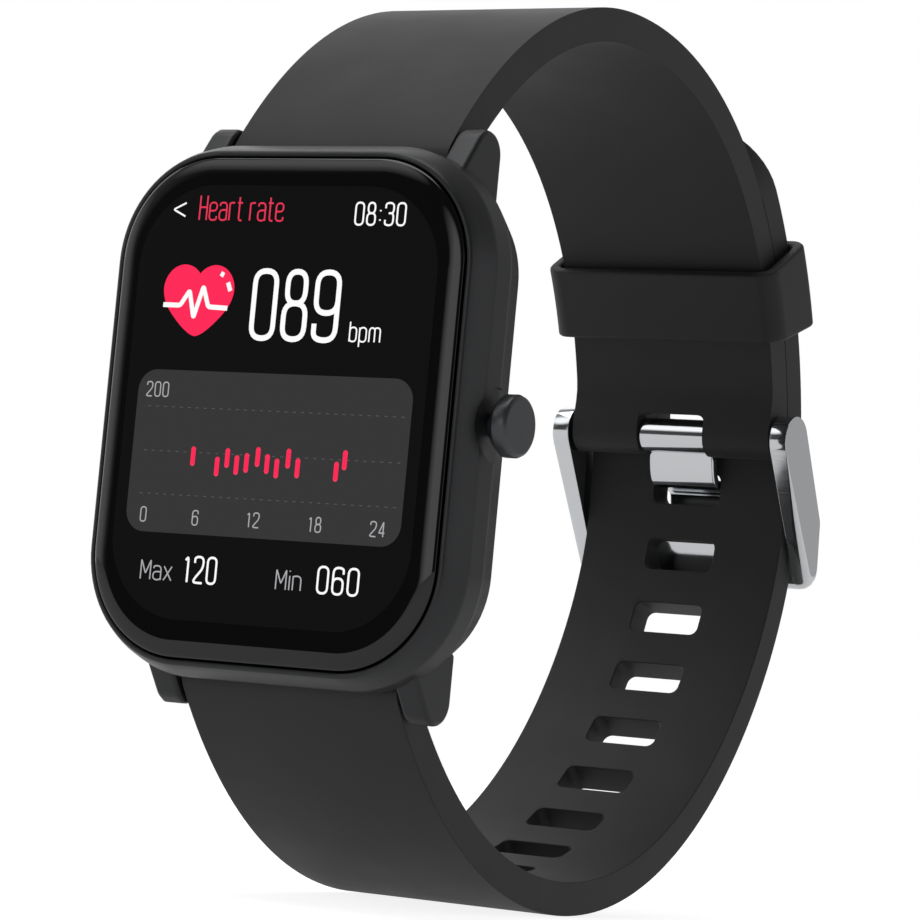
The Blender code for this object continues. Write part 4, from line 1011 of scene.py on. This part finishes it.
# ---------------------------------------------------------------- screen
# Each glyph's strokes in a box one wide and one high: lines through points, and loops as their box.
GLYPHS = {
    "0": [("loop", 0.0, 0.0, 1.0, 1.0)],
    "8": [("loop", 0.08, 0.53, 0.92, 1.0), ("loop", 0.0, 0.0, 1.0, 0.53)],
    "9": [("loop", 0.0, 0.40, 1.0, 1.0), ("line", (1.0, 0.66), (1.0, 0.0), (0.0, 0.0), (0.0, 0.24))],
    "6": [("loop", 0.0, 0.0, 1.0, 0.60), ("line", (0.0, 0.34), (0.0, 1.0), (1.0, 1.0), (1.0, 0.76))],
    "3": [("line", (0.0, 0.76), (0.0, 1.0), (1.0, 1.0), (1.0, 0.54), (0.4, 0.54)),
          ("line", (0.4, 0.54), (1.0, 0.54), (1.0, 0.0), (0.0, 0.0), (0.0, 0.24))],
    "2": [("line", (0.0, 0.76), (0.0, 1.0), (1.0, 1.0), (1.0, 0.58), (0.0, 0.12), (0.0, 0.0), (1.0, 0.0))],
    "1": [("line", (0.15, 0.84), (0.6, 1.0), (0.6, 0.0))],
    "4": [("line", (0.75, 0.0), (0.75, 1.0), (0.0, 0.26), (1.0, 0.26))],
    ":": [("line", (0.5, 0.20), (0.5, 0.26)), ("line", (0.5, 0.62), (0.5, 0.68))],
    "<": [("line", (1.0, 0.72), (0.0, 0.42), (1.0, 0.12))],
    "H": [("line", (0.0, 0.0), (0.0, 1.0)), ("line", (1.0, 0.0), (1.0, 1.0)),
          ("line", (0.0, 0.52), (1.0, 0.52))],
    "M": [("line", (0.0, 0.0), (0.0, 1.0), (0.5, 0.3), (1.0, 1.0), (1.0, 0.0))],
    "e": [("line", (0.0, 0.38), (1.0, 0.38), (1.0, 0.72), (0.0, 0.72), (0.0, 0.0), (1.0, 0.0),
           (1.0, 0.16))],
    "a": [("line", (0.05, 0.58), (0.05, 0.72), (1.0, 0.72), (1.0, 0.0)),
          ("line", (1.0, 0.42), (0.0, 0.42), (0.0, 0.0), (1.0, 0.0), (1.0, 0.3))],
    "r": [("line", (0.0, 0.0), (0.0, 0.72)), ("line", (0.0, 0.5), (0.0, 0.72), (0.95, 0.72))],
    "t": [("line", (0.35, 0.95), (0.35, 0.0), (1.0, 0.0)), ("line", (0.0, 0.72), (0.95, 0.72))],
    "b": [("line", (0.0, 0.0), (0.0, 1.0)), ("loop", 0.0, 0.0, 1.0, 0.72)],
    "p": [("line", (0.0, -0.26), (0.0, 0.72)), ("loop", 0.0, 0.0, 1.0, 0.72)],
    "m": [("line", (0.0, 0.0), (0.0, 0.72), (0.5, 0.72), (0.5, 0.0)),
          ("line", (0.5, 0.6), (0.5, 0.72), (1.0, 0.72), (1.0, 0.0))],
    "n": [("line", (0.0, 0.0), (0.0, 0.72)), ("line", (0.0, 0.55), (0.0, 0.72), (1.0, 0.72), (1.0, 0.0))],
    "i": [("line", (0.5, 0.0), (0.5, 0.72)), ("line", (0.5, 0.92), (0.5, 0.98))],
    "x": [("line", (0.0, 0.0), (1.0, 0.72)), ("line", (0.0, 0.72), (1.0, 0.0))],
}
# Widths in digits' widths, where they aren't one.
WIDTHS = {":": 0.3, "1": 0.7, "i": 0.1, "r": 0.7, "t": 0.7, "m": 1.6, "M": 1.25, " ": 0.3}


def rounded_course(points, radius, closed):
    """The points with each corner turned into a short curve."""
    count = len(points)
    made = []
    for index, point in enumerate(points):
        corner = Vector(point)
        if not closed and index in (0, count - 1):
            made.append(corner)
            continue
        before, after = Vector(points[index - 1]), Vector(points[(index + 1) % count])
        near = min(radius, (before - corner).length * 0.499)
        far = min(radius, (after - corner).length * 0.499)
        first = corner + (before - corner).normalized() * near
        last = corner + (after - corner).normalized() * far
        steps = 6
        for k in range(steps + 1):
            t = k / steps
            made.append(first * (1 - t) ** 2 + corner * 2 * t * (1 - t) + last * t * t)
    return made


def stroke_curve(name, courses, stroke, layer):
    """Strokes of round section, pressed flat onto the glass; courses are (points in x and z, closed)."""
    deselect_everything()
    bpy.ops.curve.primitive_bezier_curve_add()
    curve = bpy.context.active_object
    curve.data.splines.clear()
    curve.data.dimensions = "3D"
    curve.data.bevel_depth = stroke / 2
    curve.data.bevel_resolution = 2
    curve.data.use_fill_caps = True
    for points, closed in courses:
        spline = curve.data.splines.new("POLY")
        spline.points.add(len(points) - 1)
        spline.use_cyclic_u = closed
        for place, point in zip(spline.points, points):
            place.co = (point[0], 0.0, point[1], 1.0)
    bpy.ops.object.convert(target="MESH")
    piece = bpy.context.active_object
    for vert in piece.data.vertices:
        vert.co.y = vert.co.y * INK / stroke
    piece.location.y = GLASS_LOW[1] - layer * INK
    piece = name_new_piece(name)
    smooth(piece, 60.0)
    return piece


def text_courses(text, left, base, height, width, pitch):
    """Strokes for a line of text; width and pitch are one digit's."""
    courses = []
    x = left
    for letter in text:
        wide = width * WIDTHS.get(letter, 1.0)
        for stroke in GLYPHS.get(letter, ()):
            if stroke[0] == "loop":
                _, x0, z0, x1, z1 = stroke
                points, closed = [(x0, z0), (x1, z0), (x1, z1), (x0, z1)], True
            else:
                points, closed = stroke[1:], False
            placed = [(x + a * wide, base + b * height) for a, b in points]
            round_by = width * (0.15 if letter in "MHx<4" else 0.5)
            courses.append((rounded_course(placed, round_by, closed), closed))
        x += wide + pitch - width
    return courses


class WATCH_OT_screen(bpy.types.Operator):
    """Draw the heart-rate page on the display."""
    bl_idname = "watch.build_screen"
    bl_label = "Build the screen"

    def execute(self, context):
        readings = context.scene.watch_screen
        self.plate("screen_lit_area", (-0.1, 0.35), (27.4, 33.8), 6.6, 0.5, "display_dim_grey")
        self.plate("screen_card", (-0.1, -3.6), (25.2, 12.65), 1.7, 1.0, "display_card_grey")
        clock = f"{readings.hour:02d}:{readings.minute:02d}"
        beats, highest, lowest = (f"{number:03d}" for number in (
            readings.heart_rate, readings.highest, readings.lowest))
        # Sizes in mm: left end and base line, then one digit's height, width and pitch, and the stroke.
        labels = [
            ("back_arrow", "<", (-11.0, 14.55), (1.75, 1.15, 1.2, 0.14), "white"),
            ("title", "Heart rate", (-8.52, 14.5), (1.9, 0.66, 0.93, 0.13), "red"),
            ("clock", clock, (5.86, 14.3), (1.7, 0.72, 1.06, 0.15), "white"),
            ("reading", beats, (-2.66, 5.42), (5.2, 1.96, 2.86, 0.44), "white"),
            ("unit", "bpm", (6.35, 5.4), (1.5, 0.6, 0.88, 0.12), "white"),
        ]
        for word, left, base in (("200", -11.85, 0.62), ("0", -11.3, -9.15), ("6", -6.4, -9.2),
                                 ("12", -1.35, -9.1), ("18", 4.3, -9.15), ("24", 9.85, -9.2)):
            labels.append((f"scale_{word}", word, (left, base), (1.12, 0.5, 0.76, 0.1), "grey"))
        labels += [
            ("highest_word", "Max", (-10.75, -13.6), (1.5, 0.72, 1.0, 0.11), "grey"),
            ("highest", highest, (-6.7, -13.62), (2.0, 0.8, 1.2, 0.18), "white"),
            ("lowest_word", "Min", (1.85, -13.65), (1.5, 0.72, 1.0, 0.11), "grey"),
            ("lowest", lowest, (5.6, -13.72), (2.0, 0.9, 1.36, 0.18), "white"),
        ]
        for name, words, (left, base), sizes, ink in labels:
            height, width, pitch, stroke = (size * MM for size in sizes)
            courses = text_courses(words, left * MM, base * MM, height, width, pitch)
            self.ink(f"screen_{name}", courses, stroke, 2.5, f"display_{ink}")
        self.pulse_bars()
        self.dashes()
        self.heart()
        return {"FINISHED"}

    def plate(self, name, centre, size, corner, layer, finish):
        """A lit plate; centre, size and corner are in mm, and layers count outwards from the glass."""
        far = GLASS_LOW[1] - (layer - 0.5) * INK
        plate = add_rounded_block(name, size[0] / 2 * MM, size[1] / 2 * MM, corner * MM, far - INK, far,
                                  16, (centre[0] * MM, centre[1] * MM))
        smooth(plate, 30.0)
        dress(plate, finish, "watch", "display_dark")

    def ink(self, name, courses, stroke, layer, finish):
        dress(stroke_curve(name, courses, stroke, layer), finish, "watch", "display_dark")

    def pulse_bars(self):
        """Twelve short bars with round ends, which rise and fall about the middle line."""
        samples = ((-6.9, -3.9), (-4.6, -4.6), (-3.7, -3.9), (-2.8, -4.4), (-1.9, -4.2), (-0.9, -3.7),
                   (0.0, -4.2), (0.9, -4.5), (1.9, -3.7), (2.8, -4.4), (6.3, -4.5), (7.0, -3.6))
        half, stroke = 0.55 * MM, 0.42 * MM
        bars, ends = [], []
        for x, z in samples:
            bars.append(([(x * MM, z * MM - half), (x * MM, z * MM + half)], False))
            for end in (-1, 1):
                points = circle_points((x * MM, z * MM + end * half), stroke / 4, 12)
                ends.append((points, True))
        self.ink("screen_pulse_bars", bars, stroke, 2.5, "display_pink")
        self.ink("screen_pulse_ends", ends, stroke / 2, 2.5, "display_pink")

    def dashes(self):
        """Three dashed lines across the card."""
        left, dash, step, count = -11.6 * MM, 0.28 * MM, 0.75 * MM, 32
        courses = []
        for z in (-0.15, -3.6, -6.95):
            for k in range(count):
                x = left + k * step
                courses.append(([(x, z * MM), (x + dash, z * MM)], False))
        self.ink("screen_grid", courses, 0.06 * MM, 2.2, "display_line_grey")

    def heart(self):
        """A plump heart with a pulse line across it and two highlights."""
        centre, tip, slim = -7.9, 5.4, 0.96
        # The right half in three curves, in mm from the heart's centre line and the display's middle.
        half = (((0.0, 10.3), (0.7, 11.1), (1.95, 11.25), (2.8, 10.5)),
                ((2.8, 10.5), (3.85, 9.5), (3.5, 8.2), (2.55, 7.2)),
                ((2.55, 7.2), (1.4, 6.0), (0.45, 5.4), (0.0, 5.42)))
        right = []
        for controls in half:
            right += curve_points([Vector(point) for point in controls], 14)[:-1]
        outline = [*[(p.x, p.y) for p in right], (0.0, tip), *[(-p.x, p.y) for p in reversed(right[1:])]]
        deselect_everything()
        bpy.ops.mesh.primitive_circle_add(vertices=len(outline), radius=MM, fill_type="NGON",
                                          rotation=(QUARTER_TURN, 0.0, 0.0))
        piece = name_new_piece("screen_heart")
        y = GLASS_LOW[1] - INK
        for vert, (x, z) in zip(piece.data.vertices, outline):
            vert.co = ((centre + x * slim) * MM, y, z * MM)
        modify(piece, "SOLIDIFY", thickness=INK, offset=0.0)
        open_edit(piece, "FACE")
        bpy.ops.mesh.select_all(action="SELECT")
        bpy.ops.mesh.normals_make_consistent(inside=False)
        close_edit()
        dress(piece, "display_pink", "watch", "display_dark")
        beat = ((-11.1, 7.8), (-9.5, 7.78), (-8.72, 8.95), (-8.15, 6.85), (-7.45, 9.3), (-6.85, 7.72),
                (-5.05, 7.65))
        highlights = (((-5.95, 10.35), (-5.65, 10.2)), ((-5.2, 9.65), (-4.92, 9.0)))
        courses = []
        for mark in (beat, *highlights):
            placed = [(x * MM, z * MM) for x, z in mark]
            courses.append((rounded_course(placed, 0.22 * MM, False), False))
        self.ink("screen_pulse_line", courses, 0.38 * MM, 3.5, "display_white")


# ---------------------------------------------------------------- finishes
def make_finishes(case, band, screen):
    """Every material, by the name that pieces ask for."""
    finishes = [
        anodised_aluminium("anodised_aluminium_black", case.colour),
        turned_aluminium("turned_aluminium_grey", linear("#4B4D50"), centre_of(CAP_LOW, CAP_HIGH)),
        toughened_glass("toughened_glass_black", linear("#050506")),
        toughened_glass("toughened_glass_dark", linear("#07080C")),
        moulded_silicone("moulded_silicone_black", band.colour),
        moulded_silicone("moulded_rubber_seal", linear("#1A1A1A")),
        chromed_steel("chromed_steel"),
        moulded_abs("moulded_abs_black", linear("#17181A")),
        moulded_abs("moulded_epoxy_chip", linear("#131315"), 0.42),
        rolled_steel("rolled_stainless_steel"),
        rolled_steel("blackened_steel", "#2E3033", 0.38),
        rolled_steel("gold_plated_brass", "#D2A84E", 0.24),
        rolled_steel("aluminium_pouch_foil", "#C3C5C8", 0.3),
        solder_mask("solder_mask_green"),
        matte_paper("matte_paper_floor"),
        moulded_abs("polyimide_film_amber", linear("#8A4A16"), 0.35),
        moulded_abs("lamp_lens_green", linear("#49B56C"), 0.25),
        toughened_glass("lamp_window_green", linear("#1C6A3C")),
        toughened_glass("receiver_window_red", linear("#4A1A1E")),
    ]
    inks = {"display_dim_grey": "#0C0C0D", "display_card_grey": "#363637", "display_white": "#FFFFFF",
            "display_red": "#E8274F", "display_pink": "#FF2A58", "display_grey": "#A9A9AC",
            "display_line_grey": "#4A4A4C"}
    finishes += [screen_ink(name, code, screen.glow) for name, code in inks.items()]
    return {finish.name: finish for finish in finishes}


def dress(piece, finish, body, slot, *nodes):
    """Give the piece its material, hang it on the body it moves with and hide the nodes it stands for."""
    piece.data.materials.clear()
    piece.data.materials.append(bpy.data.materials[finish])
    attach(piece, body)
    if nodes:
        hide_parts(*nodes)


class WATCH_OT_inner(bpy.types.Operator):
    """Give the carried-over inner pieces their materials."""
    bl_idname = "watch.finish_inner_parts"
    bl_label = "Finish the inner pieces"

    def execute(self, context):
        finish_of = {
            "moulded_rubber_seal": ("glass_gasket", "rear_gasket", "button_seal"),
            "rolled_stainless_steel": ("display_backplate", "shield_can", "button_clip",
                                       "vibration_motor", "motor_weight"),
            "polyimide_film_amber": ("display_flex", "switch_flex"),
            "moulded_abs_black": ("mid_frame",),
            "toughened_glass_dark": ("display_panel",),
            "moulded_epoxy_chip": ("processor", "memory_chip", "display_connector", "button_switch",
                                   "photodiode"),
            "solder_mask_green": ("main_board", "sensor_board"),
            "aluminium_pouch_foil": ("battery",),
            "lamp_lens_green": ("led_left", "led_right"),
            "gold_plated_brass": ("charge_contact_left", "charge_contact_right"),
            "blackened_steel": ("case_screw_1", "case_screw_2", "case_screw_3", "case_screw_4"),
        }
        wanted = {node: name for name, nodes in finish_of.items() for node in nodes}
        for name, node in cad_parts.items():
            bar = "rolled_stainless_steel" if "_bar_" in name else None
            finish = wanted.get(name, bar)
            if finish:
                node.data.materials.clear()
                node.data.materials.append(bpy.data.materials[finish])
        return {"FINISHED"}


class WATCH_OT_stage(bpy.types.Operator):
    """Lay the pale floor, hang the soft lights and place the camera."""
    bl_idname = "watch.build_stage"
    bl_label = "Build the stage"

    def execute(self, context):
        stage = context.scene.watch_stage
        floor_z = CAD_BOUNDS[0][2] - 0.05 * MM
        deselect_everything()
        bpy.ops.mesh.primitive_plane_add(size=stage.floor_size, location=(0.0, 0.0, floor_z))
        floor = name_new_piece("stage_floor")
        floor.data.materials.append(bpy.data.materials["matte_paper_floor"])
        # Name, place and target in metres, width, height and power in watts.
        lights = (
            ("top_softbox", (-0.15, -0.05, 0.75), (0.0, 0.02, 0.0), 0.6, 0.6, 2.5),
            ("left_softbox", (-0.80, 0.10, 0.20), (0.0, 0.0, 0.0), 0.5, 0.7, 1.2),
        )
        for name, place, target, wide, high, power in lights:
            deselect_everything()
            bpy.ops.object.light_add(type="AREA", location=place)
            lamp = bpy.context.active_object
            lamp.name = name
            lamp.data.shape = "RECTANGLE"
            lamp.data.size = wide
            lamp.data.size_y = high
            lamp.data.energy = power * stage.light
            lamp.rotation_euler = (Vector(target) - Vector(place)).to_track_quat("-Z", "Y").to_euler()
        self.world(context)
        self.camera(context)
        context.scene.view_settings.view_transform = "Standard"
        return {"FINISHED"}

    def world(self, context):
        """White behind everything; in reflections and on surfaces, a dim room with soft white panels."""
        world = bpy.data.worlds.new("studio")
        world.use_nodes = True
        context.scene.world = world
        backdrop = world.node_tree.nodes["Background"]
        backdrop.inputs["Color"].default_value = (1.0, 1.0, 1.0, 1.0)
        place = add_node(world, "ShaderNodeTexCoord").outputs["Generated"]
        total = add_node(world, "ShaderNodeLightPath").outputs["Is Camera Ray"]
        room = 0.06
        # Each panel's direction, the cosines where it begins and is full, and its strength there.
        panels = (
            ((0.5, 0.85, 0.1), 0.3, 0.9, 0.40),
            ((-0.95, 0.1, 0.3), 0.5, 0.9, 0.4),
            ((0.02, -1.0, 0.07), 0.925, 0.98, 1.35),
            ((-0.5, -0.6, 0.62), 0.93, 0.985, 1.3),
            ((-0.92, -0.38, 0.07), 0.93, 0.985, 1.0),
            ((0.95, 0.30, 0.08), 0.90, 0.98, 0.9),
            ((-0.52, 0.70, 0.49), 0.90, 0.98, 1.2),
        )
        for way, edge, full, strength in panels:
            facing = add_node(world, "ShaderNodeVectorMath", settings={"operation": "DOT_PRODUCT"},
                              links={0: place})
            facing.inputs[1].default_value = way
            glow = remap(world, facing.outputs["Value"], room, strength, edge, full)
            total = add_node(world, "ShaderNodeMath", settings={"operation": "MAXIMUM"},
                             links={0: total, 1: glow}).outputs["Value"]
        world.node_tree.links.new(total, backdrop.inputs["Strength"])

    def camera(self, context):
        """The camera stands front right, a little below the display's middle."""
        deselect_everything()
        bpy.ops.object.camera_add(location=(167.01 * MM, -257.72 * MM, -23.11 * MM))
        camera = bpy.context.active_object
        right = (0.854678, 0.510790, 0.092839)
        up = (-0.043989, -0.106932, 0.993293)
        back = (0.517292, -0.853029, -0.068923)
        camera.rotation_euler = Matrix(list(zip(right, up, back))).to_euler()
        camera.data.sensor_width = 36.0
        camera.data.lens = 153.42
        camera.data.clip_start = 0.01
        context.scene.camera = camera


class WATCH_PT_panel(bpy.types.Panel):
    """Lists the build steps."""
    bl_idname = "WATCH_PT_panel"
    bl_label = "Smartwatch"
    bl_space_type = "VIEW_3D"
    bl_region_type = "UI"
    bl_category = "Watch"

    def draw(self, context):
        for operator in BUILDERS:
            self.layout.operator(operator.bl_idname)
        for group in ("watch_case", "watch_band", "watch_screen", "watch_stage"):
            settings = getattr(context.scene, group)
            box = self.layout.box()
            for key in settings.__annotations__:
                box.prop(settings, key)


SETTINGS = {"watch_case": CaseSettings, "watch_band": BandSettings, "watch_screen": ScreenSettings,
            "watch_stage": StageSettings}
BUILDERS = (WATCH_OT_case, WATCH_OT_glass, WATCH_OT_screen, WATCH_OT_button, WATCH_OT_back,
            WATCH_OT_band, WATCH_OT_keeper, WATCH_OT_buckle, WATCH_OT_inner, WATCH_OT_stage)


def register():
    for item in (*SETTINGS.values(), *BUILDERS, WATCH_PT_panel):
        bpy.utils.register_class(item)
    for name, group in SETTINGS.items():
        setattr(bpy.types.Scene, name, PointerProperty(type=group))


def unregister():
    for name in SETTINGS:
        delattr(bpy.types.Scene, name)
    for item in reversed((*SETTINGS.values(), *BUILDERS, WATCH_PT_panel)):
        bpy.utils.unregister_class(item)


def main():
    register()
    deselect_everything()
    scene = bpy.context.scene
    make_finishes(scene.watch_case, scene.watch_band, scene.watch_screen)
    for builder in BUILDERS:
        group, name = builder.bl_idname.split(".")
        getattr(getattr(bpy.ops, group), name)()


if __name__ == "__main__":
    main()
